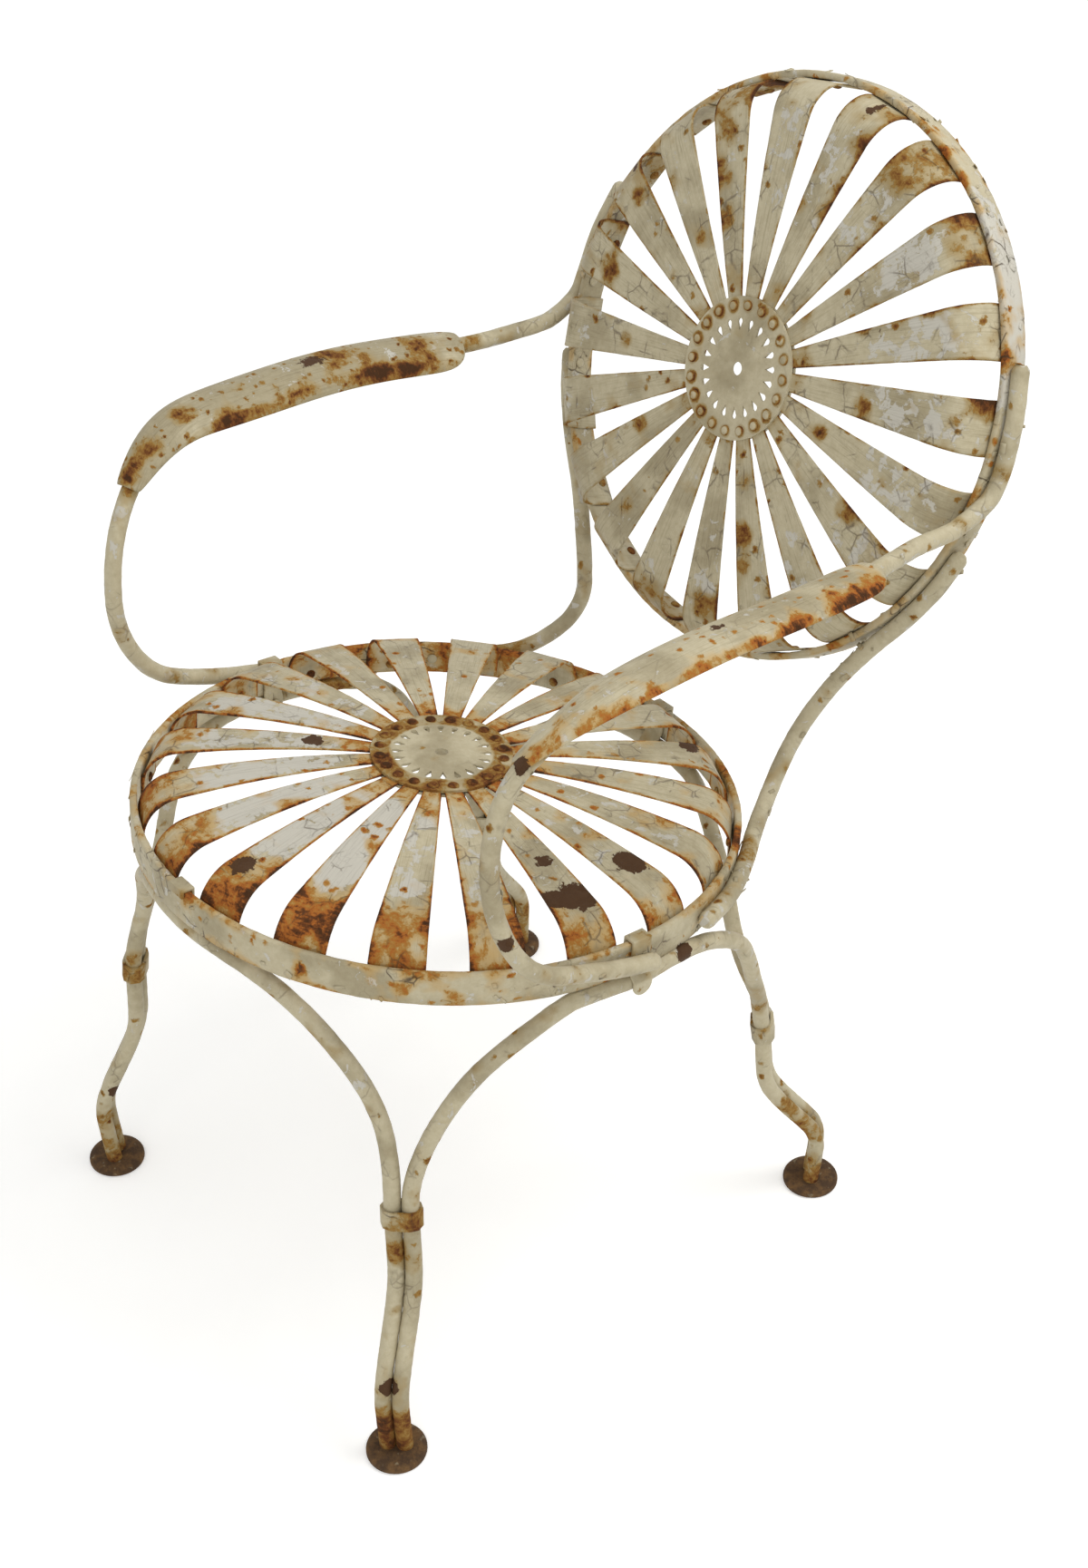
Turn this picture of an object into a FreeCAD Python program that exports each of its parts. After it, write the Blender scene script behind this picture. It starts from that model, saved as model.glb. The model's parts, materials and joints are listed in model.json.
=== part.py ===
import FreeCAD, Part
import math
import os
from FreeCAD import Placement, Rotation, Vector

os.makedirs("parts", exist_ok=True)

# Garden armchair of bent round bar and spring steel strip, in millimetres.
# The sitter faces -Y, +X is the sitter's left, and the feet stand on z = 0.
# It is laid out about the upright axis of the seat and moved to its own centre at the end.

# Stock that the chair is made from
bar_diameter = 12.0
bar_sides = 8
bar_bend_step = 16.0
strip_thickness = 1.6
sheet_thickness = 2.0
contact_gap = 0.3

# Seat: a hoop of flat bar, lower at the rear
seat_hoop_diameter = 430.0
seat_hoop_height = 25.0
seat_rim_height = 384.0
seat_tilt = 5.7
seat_crown = 30.0
seat_bow_radius = 722.0

# Back: a smaller hoop that leans back
back_hoop_diameter = 412.0
back_hoop_height = 22.0
back_rim_y = 304.0
back_rim_height = 612.5
back_lean = 20.4
back_crown = 31.0
back_bow_radius = 1400.0
hoop_thickness = 5.0

# Fan of spring slats, the same in the seat and the back
slat_count = 20
slat_inner_radius = 38.0
slat_hub_width = 13.0
slat_rim_width = 38.0
slat_bend_reach = 25.0
slat_tail = 22.0
slat_corner_gap = 0.3
bow_flats = 3
bend_flats = 5

# Pierced hub disc, the ring behind it and the rivets
hub_diameter = 100.0
hub_hole_diameter = 9.5
teardrop_inner_radius = 26.3
teardrop_outer_radius = 35.0
teardrop_width = 4.7
ring_inner_radius = 37.0
rivet_circle_radius = 43.75
rivet_head_diameter = 7.2
rivet_head_height = 1.6
rivet_head_sides = 5
teardrop_flats = 4
rim_rivet_drop = 15.9

# Legs: two bars side by side, jogged outwards above each foot
front_foot_x = 190.0
front_foot_y = -200.0
rear_foot_x = 190.0
rear_foot_y = 215.0
foot_diameter = 44.0
foot_thickness = 7.0
foot_bevel = 2.0
leg_azimuth = 45.0
collar_radius = 239.0
side_arch_inset = 1.0
end_arch_inset = 6.5
front_collar_height = 204.0
rear_collar_height = 179.0
front_knee_height = 137.0
rear_knee_height = 122.0
knee_radius = 247.0
jog_height = 66.0
arch_top_half_angle = 10.0
arch_merge_rise = 12.0

# Way of an arch from its top run to the collar: shares of its swing, drop and spread
end_arch_way = ((0.58, 0.21, 0.0), (0.95, 0.66, 0.45))
side_arch_front_way = ((0.365, 0.09, 0.22), (0.80, 0.51, 0.30))
side_arch_rear_way = ((0.45, 0.14, 0.49), (0.75, 0.57, 0.81))

# Collars and hoop clips
collar_wall = 2.4
collar_height = 15.0
band_flats = 4
clip_width = 16.0
clip_thickness = 2.2
clip_tail = 3.0
clip_lip = 4.0
clip_wrap_flats = 3
clip_wrap_step = 45.0

# Arm bar: from the seat hoop's side in x and from its rim in z, then round the back hoop
arm_rise_way = ((7, -52, 5), (6, -93, 28), (3, -116, 68), (-2, -121, 118))
arm_rest_way = ((0, -98, 181), (10, -64, 207), (10, 15, 217), (10, 106, 213), (0, 190, 203))
arm_back_way = ((8.3, -12.7, 50.7), (6.1, -8.1, 10.2))

# Back stay: reach beyond the hoop, angle and height, round the seat hoop and then the back hoop
stay_seat_way = ((23.1, 56.3, -1.3), (41.2, 61.8, 23.5))
stay_back_way = ((21.8, -52.4, -9.5),)

# Arm bar and back stay: angles round the hoops where the bars lie against them
arm_tail = 9.0
arm_rise_angle = 17.0
arm_back_meet_angle = -1.0
arm_back_end_angle = 21.0
stay_seat_end_angle = 16.0
stay_seat_leave_angle = 38.0
stay_back_meet_angle = -32.0
stay_back_end_angle = -15.0
back_bar_forward = 3.0

# Arm rest: a sheet channel over the bar
rest_full_width = 48.0
rest_narrow_width = 20.0
rest_full_depth = 12.0
rest_inward_shift = 1.0
rest_inward_roll = 12.5
rest_front_reach = 110.0
rest_end_reach = 25.0
rest_flats = 6
rest_end_steps = 4

bar_radius = bar_diameter / 2
seat_outer_radius = seat_hoop_diameter / 2
back_outer_radius = back_hoop_diameter / 2
bar_lane = bar_radius + contact_gap
slat_pitch = 360.0 / slat_count
seat_bar_height = -seat_hoop_height / 2
back_bar_height = back_bar_forward - back_hoop_height / 2
up = Vector(0, 0, 1)
seat_place = Placement(Vector(0, 0, seat_rim_height), Rotation(Vector(1, 0, 0), -seat_tilt))
back_place = Placement(Vector(0, back_rim_y, back_rim_height), Rotation(Vector(1, 0, 0), 90 - back_lean))


def polar(radius, angle, height=0.0):
    """A point at a radius and an angle in degrees round the Z axis."""
    turn = math.radians(angle)
    return Vector(radius * math.cos(turn), radius * math.sin(turn), height)


def seat_point(radius, angle, height):
    """A point of the seat, with its height above the rim of the seat hoop."""
    return seat_place.multVec(polar(radius, angle, height))


def back_point(radius, angle, height):
    """A point of the back, with its height in front of the rim of the back hoop."""
    return back_place.multVec(polar(radius, angle, height))


def unit(vector):
    """The same direction with a length of one."""
    return vector / vector.Length


def turned(shape, angle):
    """A copy turned round the Z axis."""
    copy = shape.copy()
    copy.rotate(Vector(0, 0, 0), up, angle)
    return copy


def placed(shape, place):
    """A copy moved from its own frame to its place on the chair."""
    copy = shape.copy()
    copy.transformShape(place.toMatrix())
    return copy


def mirrored(shape):
    """The same piece for the other side of the chair."""
    return shape.mirror(Vector(0, 0, 0), Vector(1, 0, 0))


def ring(inner_radius, outer_radius, bottom, top):
    """A flat ring of rectangular section round the Z axis."""
    height = top - bottom
    outer = Part.makeCylinder(outer_radius, height, Vector(0, 0, bottom))
    return outer.cut(Part.makeCylinder(inner_radius, height, Vector(0, 0, bottom)))


def prism(points, direction):
    """A solid pushed out from a flat outline."""
    return Part.Face(Part.makePolygon(points + points[:1])).extrude(direction)


def polygon_points(centre, normal, radius, sides):
    """Corners of a regular polygon on a plane through centre."""
    turn = Rotation(up, normal)
    step = 360.0 / sides
    return [centre + turn.multVec(polar(radius, step * (side + 0.5))) for side in range(sides)]


def rivet_head(seat, normal, diameter):
    """A low rivet head standing on a face."""
    points = polygon_points(seat, normal, diameter / 2, rivet_head_sides)
    return prism(points, unit(normal) * rivet_head_height)


def arc_edge(start, direction, end):
    """The arc that leaves start along direction and ends at end, or a line if they are in line."""
    chord = end - start
    along = unit(chord)
    aside = direction - along * direction.dot(along)
    if aside.Length < 1e-4:
        return Part.LineSegment(start, end).toShape()
    half_turn = math.atan2(aside.Length, direction.dot(along))
    rise = chord.Length / 2 * math.tan(half_turn / 2)
    middle = start + chord / 2 + unit(aside) * rise
    return Part.Arc(start, middle, end).toShape()


def biarc(start, start_direction, end, end_direction):
    """Two arcs in line with each other that join two points in given directions."""
    chord = end - start
    spread = 2 * (1 - start_direction.dot(end_direction))
    along = chord.dot(start_direction + end_direction)
    square = chord.dot(chord)
    reach = square / (2 * along)
    if spread > 1e-6:
        reach = (math.sqrt(along * along + spread * square) - along) / spread
    joint = (start + end + (start_direction - end_direction) * reach) / 2
    joint_direction = unit(joint - start) * 2 * unit(joint - start).dot(start_direction) - start_direction
    return [arc_edge(start, start_direction, joint), arc_edge(joint, unit(joint_direction), end)]


def passing_direction(before, here, after):
    """The direction at here of the circle through three points."""
    arriving = here - before
    leaving = after - here
    return unit(arriving / arriving.dot(arriving) + leaving / leaving.dot(leaving))


def smooth_edges(points, start_direction, end_direction):
    """Arcs that run smoothly through a list of points."""
    directions = [start_direction]
    for before, here, after in zip(points, points[1:], points[2:]):
        directions.append(passing_direction(before, here, after))
    directions.append(end_direction)
    edges = []
    for index in range(len(points) - 1):
        edges += biarc(points[index], directions[index], points[index + 1], directions[index + 1])
    return edges


def path_points(edges):
    """Points along a path of arcs and lines, close enough that the bar looks smoothly bent."""
    points = [edges[0].valueAt(edges[0].FirstParameter)]
    for edge in edges:
        first, last = edge.FirstParameter, edge.LastParameter
        turn = math.degrees(edge.tangentAt(first).getAngle(edge.tangentAt(last)))
        steps = max(1, math.ceil(turn / bar_bend_step))
        points += [edge.valueAt(first + (last - first) * step / steps) for step in range(1, steps + 1)]
    return points


def skinned(rings, halved):
    """A solid skinned over a row of outlines, its side faces halved into triangles where they twist."""
    faces = [Part.Face(Part.makePolygon(ends + ends[:1])) for ends in (rings[0][::-1], rings[-1])]
    for here, there in zip(rings, rings[1:]):
        for index in range(len(here)):
            after = (index + 1) % len(here)
            corners = [here[index], here[after], there[after], there[index]]
            outlines = [corners[:3], [corners[0]] + corners[2:]] if halved else [corners]
            faces += [Part.Face(Part.makePolygon(outline + outline[:1])) for outline in outlines]
    return Part.Solid(Part.Shell(faces))


def slid(corners, direction, point, normal):
    """Corners slid along a direction onto the plane through a point."""
    return [corner + direction * ((point - corner).dot(normal) / direction.dot(normal)) for corner in corners]


def bent_bar(edges):
    """The bar along a path of arcs and lines, in short straight runs that meet in mitres."""
    points = path_points(edges)
    directions = [unit(after - before) for before, after in zip(points, points[1:])]
    rings = [polygon_points(points[0], directions[0], bar_radius, bar_sides)]
    for index, direction in enumerate(directions):
        mitre = unit(direction + directions[min(index + 1, len(directions) - 1)])
        rings.append(slid(rings[-1], direction, points[index + 1], mitre))
    return skinned(rings, False)


def hoop(outer_radius, height):
    """A hoop of flat bar, its rim at z = 0 of the bowl."""
    return ring(outer_radius - hoop_thickness, outer_radius, -height, 0)


def slat_outline(hoop_inner_radius, crown, bow_radius):
    """Side view of a slat: flat under the hub, a slow bow, then a bend down inside the hoop."""
    face_radius = math.sqrt((hoop_inner_radius - slat_corner_gap) ** 2 - (slat_rim_width / 2) ** 2)
    flat_end = hub_diameter / 2 + strip_thickness
    bend_start = face_radius - slat_bend_reach
    slope = math.asin((bend_start - flat_end) / bow_radius)
    bend_radius = (face_radius - bend_start) / (1 - math.sin(slope))
    bow_centre = Vector(flat_end, 0, crown - bow_radius)
    bend_centre = bow_centre + Vector(math.sin(slope), 0, math.cos(slope)) * (bow_radius - bend_radius)
    outline = []
    for inset, order in ((0.0, 1), (strip_thickness, -1)):
        side = [Vector(slat_inner_radius, 0, crown - inset)]
        for step in range(bow_flats + 1):
            turn = slope * step / bow_flats
            side.append(bow_centre + Vector(math.sin(turn), 0, math.cos(turn)) * (bow_radius - inset))
        for step in range(1, bend_flats + 1):
            turn = slope + (math.pi / 2 - slope) * step / bend_flats
            side.append(bend_centre + Vector(math.sin(turn), 0, math.cos(turn)) * (bend_radius - inset))
        side.append(Vector(face_radius - inset, 0, -slat_tail))
        outline += side[::order]
    return outline


def slat(hoop_inner_radius, crown, bow_radius):
    """One spring slat along +X, narrow at the hub and wide at the rim."""
    outline = slat_outline(hoop_inner_radius, crown, bow_radius)
    blank = prism([point + Vector(0, -slat_rim_width / 2, 0) for point in outline], Vector(0, slat_rim_width, 0))
    hub_radius = hub_diameter / 2
    growth = (slat_rim_width - slat_hub_width) / 2 / (hoop_inner_radius - hub_radius)
    inner_half = slat_hub_width / 2 - growth * (hub_radius - slat_inner_radius)
    floor = -slat_tail - strip_thickness
    plan = [Vector(slat_inner_radius, -inner_half, floor), Vector(hoop_inner_radius, -slat_rim_width / 2, floor),
            Vector(hoop_inner_radius, slat_rim_width / 2, floor), Vector(slat_inner_radius, inner_half, floor)]
    return blank.common(prism(plan, Vector(0, 0, crown - 2 * floor)))


def slat_angles():
    """The slats stand half a step from the front, so a gap faces the front and the top."""
    return [slat_pitch * (index + 0.5) for index in range(slat_count)]


def teardrop():
    """A pierced teardrop on the hub along +X, its point towards the centre."""
    radius = teardrop_width / 2
    centre = Vector(teardrop_outer_radius - radius, 0, 0)
    tip = Vector(teardrop_inner_radius, 0, 0)
    lean = math.asin(radius / (centre.x - tip.x))
    reach = 90 + math.degrees(lean)
    angles = [reach - 2 * reach * step / teardrop_flats for step in range(teardrop_flats + 1)]
    points = [tip] + [centre + polar(radius, angle) for angle in angles]
    return Part.makePolygon(points + points[:1])


def hub(crown):
    """The pierced disc that covers the inner ends of the slats."""
    wires = [Part.Wire(Part.makeCircle(hub_diameter / 2)), Part.Wire(Part.makeCircle(hub_hole_diameter / 2))]
    for index in range(slat_count):
        wires.append(turned(teardrop(), slat_pitch * index))
    face = Part.makeFace(Part.makeCompound(wires), "Part::FaceMakerBullseye")
    disc = face.extrude(Vector(0, 0, sheet_thickness))
    disc.translate(Vector(0, 0, crown))
    return disc


def hub_ring(crown):
    """The plain ring behind the inner ends of the slats, two flats to a slat."""
    base = Vector(0, 0, crown - strip_thickness - sheet_thickness)
    rise = Vector(0, 0, sheet_thickness)
    outer = prism(polygon_points(base, up, hub_diameter / 2, 2 * slat_count), rise)
    return outer.cut(prism(polygon_points(base, up, ring_inner_radius, 2 * slat_count), rise))


def slat_rivets(hoop_inner_radius, crown):
    """Heads of the rivets that hold each slat, one on the hub and one inside the hoop."""
    face_radius = math.sqrt((hoop_inner_radius - slat_corner_gap) ** 2 - (slat_rim_width / 2) ** 2)
    hub_seat = Vector(rivet_circle_radius, 0, crown + sheet_thickness)
    rim_seat = Vector(face_radius - strip_thickness, 0, -rim_rivet_drop)
    heads = [rivet_head(hub_seat, up, rivet_head_diameter)]
    heads.append(rivet_head(rim_seat, Vector(-1, 0, 0), rivet_head_diameter))
    return [turned(head, angle) for angle in slat_angles() for head in heads]


def hoop_run(point, outer_radius, height, start_angle, end_angle):
    """The part of a bar's path that lies against the outside of a hoop."""
    radius = outer_radius + bar_lane
    middle = (start_angle + end_angle) / 2
    ends = [point(radius, angle, height) for angle in (start_angle, middle, end_angle)]
    edge = Part.Arc(ends[0], ends[1], ends[2]).toShape()
    start_direction = unit(edge.tangentAt(edge.FirstParameter))
    end_direction = unit(edge.tangentAt(edge.LastParameter))
    return edge, ends[0], start_direction, ends[2], end_direction


def arm_runs():
    """Edges of the sitter's left arm bar before, under and after the arm rest."""
    rise = math.radians(arm_rise_angle)
    start_direction = Vector(0, -math.cos(rise), math.sin(rise))
    beside_clip = seat_point(seat_outer_radius + bar_lane + contact_gap + clip_thickness, 0, seat_bar_height)
    back_run = hoop_run(back_point, back_outer_radius, back_bar_height, arm_back_meet_angle, arm_back_end_angle)
    side = Vector(seat_outer_radius, 0, seat_rim_height)
    before = [beside_clip - start_direction * arm_tail, beside_clip + start_direction * arm_tail]
    before += [side + Vector(*step) for step in arm_rise_way]
    under = [side + Vector(*step) for step in arm_rest_way]
    after = [back_point(back_outer_radius + reach, angle, height) for reach, angle, height in arm_back_way]
    edges = smooth_edges(before + under + after + [back_run[1]], start_direction, back_run[2])
    rest_start = 2 * len(before)
    rest_stop = rest_start + 2 * (len(under) - 1)
    return edges[:rest_start], edges[rest_start:rest_stop], edges[rest_stop:] + [back_run[0]]


def arm_path():
    """Edges of the sitter's left arm bar, from the seat clip up and back to the back hoop."""
    before, under, after = arm_runs()
    return before + under + after


def stay_path():
    """Edges of the sitter's left back stay, from the seat hoop to the back hoop."""
    seat_run = hoop_run(seat_point, seat_outer_radius, seat_bar_height, stay_seat_end_angle, stay_seat_leave_angle)
    back_run = hoop_run(back_point, back_outer_radius, back_bar_height, stay_back_meet_angle, stay_back_end_angle)
    low = [seat_point(seat_outer_radius + reach, angle, height) for reach, angle, height in stay_seat_way]
    high = [back_point(back_outer_radius + reach, angle, height) for reach, angle, height in stay_back_way]
    points = [seat_run[3]] + low + high + [back_run[1]]
    return [seat_run[0]] + smooth_edges(points, seat_run[4], back_run[2]) + [back_run[0]]


def clip_section(outline):
    """A clip's solid from the radius and height of each corner of its section."""
    return prism([Vector(radius, -clip_width / 2, height) for radius, height in outline], Vector(0, clip_width, 0))


def side_clip():
    """The strap over the hoop at the bowl's +X side, its two tongues spread round the arch bar below."""
    outer = seat_outer_radius + contact_gap
    inner = seat_outer_radius - hoop_thickness - 2 * contact_gap
    middle = seat_outer_radius - side_arch_inset
    spread = bar_radius + contact_gap
    neck = -seat_hoop_height + contact_gap
    shoulder = neck - 2 * spread / 3
    bottom = -seat_hoop_height - bar_diameter - clip_tail
    wall = clip_thickness
    lip = contact_gap + wall
    outside = [(inner - wall, lip), (outer + wall, lip), (outer + wall, neck), (middle + spread + wall, shoulder)]
    outside += [(middle + spread + wall, bottom), (middle + spread, bottom), (middle + spread, shoulder)]
    inside = [(outer, neck), (outer, contact_gap), (inner, contact_gap), (inner, neck)]
    inside += [(middle - spread, shoulder), (middle - spread, bottom), (middle - spread - wall, bottom)]
    inside += [(middle - spread - wall, shoulder), (inner - wall, neck)]
    half = clip_width / 2
    start = inner - 2 * bar_diameter
    corners = [Vector(start, -half, lip), Vector(start, half, lip)]
    for step in range(2 * band_flats + 1):
        turn = math.pi * step / (2 * band_flats)
        corners.append(Vector(start, half * math.cos(turn), bottom + half - half * math.sin(turn)))
    blank = prism(corners, Vector(4 * bar_diameter, 0, 0))
    return clip_section(outside + inside).common(blank)


def end_clip():
    """The strap hooked over the hoop at the bowl's +X side, down inside it and round under the arch bar."""
    outer = seat_outer_radius + contact_gap
    inner = seat_outer_radius - hoop_thickness - 2 * contact_gap
    middle = seat_outer_radius - end_arch_inset
    axis = arch_top_height()
    wall = clip_thickness
    lip = contact_gap + wall
    neck = axis + 2 * (bar_radius + contact_gap)
    outline = [(inner - wall, neck), (inner - wall, lip), (outer + wall, lip), (outer + wall, -clip_lip)]
    outline += [(outer, -clip_lip), (outer, contact_gap), (inner, contact_gap), (inner, neck)]
    stretch = 1 / math.cos(math.radians(clip_wrap_step / 2))
    angles = [180 + clip_wrap_step * (step - 0.5) for step in range(clip_wrap_flats)]
    for radius, order in ((bar_radius + contact_gap, 1), (bar_radius + contact_gap + wall, -1)):
        for angle in angles[::order]:
            corner = polar(radius * stretch, angle)
            outline.append((middle + corner.x, axis + corner.y))
    return clip_section(outline)


def clip_heads(round_bar):
    """Heads on the inner face of a clip: one through the hoop, and one through the arch bar if asked for."""
    wall_face = seat_outer_radius - hoop_thickness - 2 * contact_gap - clip_thickness
    heads = [rivet_head(Vector(wall_face, 0, seat_bar_height), Vector(-1, 0, 0), rivet_head_diameter)]
    if round_bar:
        tongue_face = seat_outer_radius - side_arch_inset - bar_radius - contact_gap - clip_thickness
        seat = Vector(tongue_face, 0, arch_top_height() - contact_gap)
        heads.append(rivet_head(seat, Vector(-1, 0, 0), rivet_head_diameter))
    return heads


def leg_points(foot_x, foot_y, collar_height_at, knee_height):
    """The middle line of a leg from its collar down to its foot."""
    side = math.copysign(1, foot_x)
    azimuth = math.copysign(leg_azimuth, foot_y)
    points = [polar(collar_radius, azimuth, collar_height_at), polar(knee_radius, azimuth, knee_height)]
    points = [Vector(point.x * side, point.y, point.z) for point in points]
    ankle = Vector(foot_x, foot_y, knee_height - jog_height)
    points += [(points[1] + ankle) / 2, ankle, Vector(foot_x, foot_y, foot_thickness)]
    return math.degrees(math.atan2(points[0].y, points[0].x)), points


def legs():
    """The four legs by name, each with its azimuth and middle line."""
    front = (front_collar_height, front_knee_height)
    rear = (rear_collar_height, rear_knee_height)
    return {
        "front_left": leg_points(front_foot_x, front_foot_y, *front),
        "front_right": leg_points(-front_foot_x, front_foot_y, *front),
        "rear_left": leg_points(rear_foot_x, rear_foot_y, *rear),
        "rear_right": leg_points(-rear_foot_x, rear_foot_y, *rear),
    }


def strand_points(leg, side):
    """One of a leg's two bars, side by side, on the given side of its middle line."""
    azimuth, points = leg
    offset = polar(bar_radius + contact_gap / 2, azimuth + 90) * side
    slope = unit(points[0] - points[1])
    merge = points[0] + slope * arch_merge_rise
    return [point + offset for point in [merge] + points]


def arch_top_height():
    """How far the middle line of an arch bar is above the rim of the seat hoop, where it meets the hoop."""
    return -seat_hoop_height - contact_gap - bar_radius


def arch_half(top_end, merge, way):
    """Points of the sweep from the top run down to the leg, on a bulged cone round the seat's axis."""
    top_azimuth = math.degrees(math.atan2(top_end.y, top_end.x))
    top_radius = math.hypot(top_end.x, top_end.y)
    merge_azimuth = math.degrees(math.atan2(merge.y, merge.x))
    merge_radius = math.hypot(merge.x, merge.y)
    swing = (merge_azimuth - top_azimuth + 180) % 360 - 180
    points = [top_end]
    for swing_share, drop_share, spread_share in way:
        radius = top_radius + (merge_radius - top_radius) * spread_share
        height = top_end.z + (merge.z - top_end.z) * drop_share
        points.append(polar(radius, top_azimuth + swing * swing_share, height))
    return points


def arch_path(middle_angle, inset, first_leg, first_way, second_leg, second_way):
    """A bar that runs up one leg, under the hoop and down the next leg."""
    angles = [middle_angle - arch_top_half_angle, middle_angle, middle_angle + arch_top_half_angle]
    top = [seat_point(seat_outer_radius - inset, angle, arch_top_height()) for angle in angles]
    top_edge = Part.Arc(top[0], top[1], top[2]).toShape()
    first_direction = unit(top_edge.tangentAt(top_edge.FirstParameter)) * -1
    second_direction = unit(top_edge.tangentAt(top_edge.LastParameter))
    first = strand_points(first_leg, 1)
    second = strand_points(second_leg, -1)
    down_first = arch_half(top[0], first[0], first_way) + first
    down_second = arch_half(top[2], second[0], second_way) + second
    up_first = down_first[::-1]
    edges = smooth_edges(up_first, up, first_direction * -1)
    edges.append(top_edge)
    edges += smooth_edges(down_second, second_direction, up * -1)
    return edges


def band_outline(half_length, radius, centre, along, normal):
    """The outline round two bars side by side, its ends half round in a few flats."""
    side = unit(normal.cross(along))
    points = []
    for end, start_angle in ((1, -90), (-1, 90)):
        for step in range(band_flats + 1):
            corner = polar(radius, start_angle + 180 * step / band_flats)
            points.append(centre + along * (end * half_length + corner.x) + side * corner.y)
    return points


def collar(leg):
    """The band wrapped round both bars of a leg."""
    azimuth, points = leg
    slope = unit(points[0] - points[1])
    along = polar(1, azimuth + 90)
    base = points[0] - slope * (collar_height / 2)
    half_length = bar_radius + contact_gap / 2
    inner = bar_radius + contact_gap
    hollow = prism(band_outline(half_length, inner, base, along, slope), slope * collar_height)
    band = prism(band_outline(half_length, inner + collar_wall, base, along, slope), slope * collar_height)
    return band.cut(hollow)


def foot(leg):
    """The round pad under both bars of a leg."""
    ground = Vector(leg[1][-1].x, leg[1][-1].y, 0)
    edge_height = foot_thickness - foot_bevel
    pad = Part.makeCylinder(foot_diameter / 2, edge_height, ground)
    top = Part.makeCone(foot_diameter / 2, foot_diameter / 2 - 2 * foot_bevel, foot_bevel, ground + up * edge_height)
    return pad.fuse(top).removeSplitter()


def rest_section(point, direction, width):
    """The closed outline of a half elliptical channel across the arm bar."""
    level = unit(direction.cross(up))
    roll = Rotation(direction, -rest_inward_roll)
    side = roll.multVec(level)
    rise = roll.multVec(unit(level.cross(direction)))
    half = width / 2
    depth = rest_full_depth * width / rest_full_width
    shift = rest_inward_shift * (width - rest_narrow_width) / (rest_full_width - rest_narrow_width)
    off_middle = (shift + bar_radius / 3) / (half - sheet_thickness)
    bow = (depth - sheet_thickness) * (1 - math.sqrt(1 - off_middle * off_middle))
    middle = point - side * shift + rise * (bar_radius + contact_gap + sheet_thickness + bow - depth)
    corners = []
    for inset, order in ((0.0, 1), (sheet_thickness, -1)):
        for step in range(rest_flats + 1)[::order]:
            turn = math.pi * (step / rest_flats - 0.5)
            aside = side * ((half - inset) * math.sin(turn))
            corners.append(middle + aside + rise * ((depth - inset) * math.cos(turn)))
    return corners


def rest_width(distance, length):
    """How wide the sheet is at a distance from its front end: a slow swell, then a rounded end."""
    front = min(distance / rest_front_reach, 1.0)
    end = min(max(length - distance, 0.0) / rest_end_reach, 1.0)
    share = min(math.sin(front * math.pi / 2), math.sqrt(end * (2 - end)))
    return rest_narrow_width + (rest_full_width - rest_narrow_width) * share


def arm_rest():
    """The sheet arm rest of the sitter's left side, shaped along the runs of the bar under it."""
    points = path_points(arm_runs()[1])
    reached = [0.0]
    for before, after in zip(points, points[1:]):
        reached.append(reached[-1] + (after - before).Length)
    length = reached[-1]
    end_places = [length - rest_end_reach * (step / rest_end_steps) ** 2 for step in range(rest_end_steps, 0, -1)]
    rings = []
    for index in range(len(points) - 1):
        direction = unit(points[index + 1] - points[index])
        before = unit(points[max(index, 1)] - points[max(index, 1) - 1])
        rings.append(rest_section(points[index], unit(before + direction), rest_width(reached[index], length)))
        for place in end_places:
            if reached[index] + sheet_thickness / 2 < place < reached[index + 1] - sheet_thickness / 2:
                point = points[index] + direction * (place - reached[index])
                rings.append(rest_section(point, direction, rest_width(place, length)))
    rings.append(rest_section(points[-1], unit(points[-1] - points[-2]), rest_narrow_width))
    return skinned(rings, True)


def bowl(place, outer_radius, height, crown, bow_radius, name):
    """All pieces of the seat or of the back."""
    inner_radius = outer_radius - hoop_thickness
    blank = slat(inner_radius, crown, bow_radius)
    parts = {name + "_hoop": placed(hoop(outer_radius, height), place), name + "_hub": placed(hub(crown), place)}
    for index, angle in enumerate(slat_angles()):
        parts["%s_slat_%02d" % (name, index + 1)] = placed(turned(blank, angle), place)
    backing = placed(hub_ring(crown), place)
    rivets = [placed(head, place) for head in slat_rivets(inner_radius, crown)]
    return parts, backing, rivets


def frame_rivets():
    """Heads inside the hoops, in the gaps between slats, of the rivets for the bars and the clips."""
    heads = []
    for place, outer, height, gaps in ((seat_place, seat_outer_radius, seat_bar_height, (1, 2)),
                                       (back_place, back_outer_radius, back_bar_height, (-1, 0, 1))):
        seat = Vector(outer - hoop_thickness, 0, height)
        head = rivet_head(seat, Vector(-1, 0, 0), rivet_head_diameter)
        heads += [placed(turned(head, slat_pitch * gap), place) for gap in gaps]
        heads += [placed(turned(head, 180 - slat_pitch * gap), place) for gap in gaps]
    for quarter in range(4):
        heads += [placed(turned(head, 90 * quarter), seat_place) for head in clip_heads(quarter % 2 == 0)]
    return heads


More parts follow.
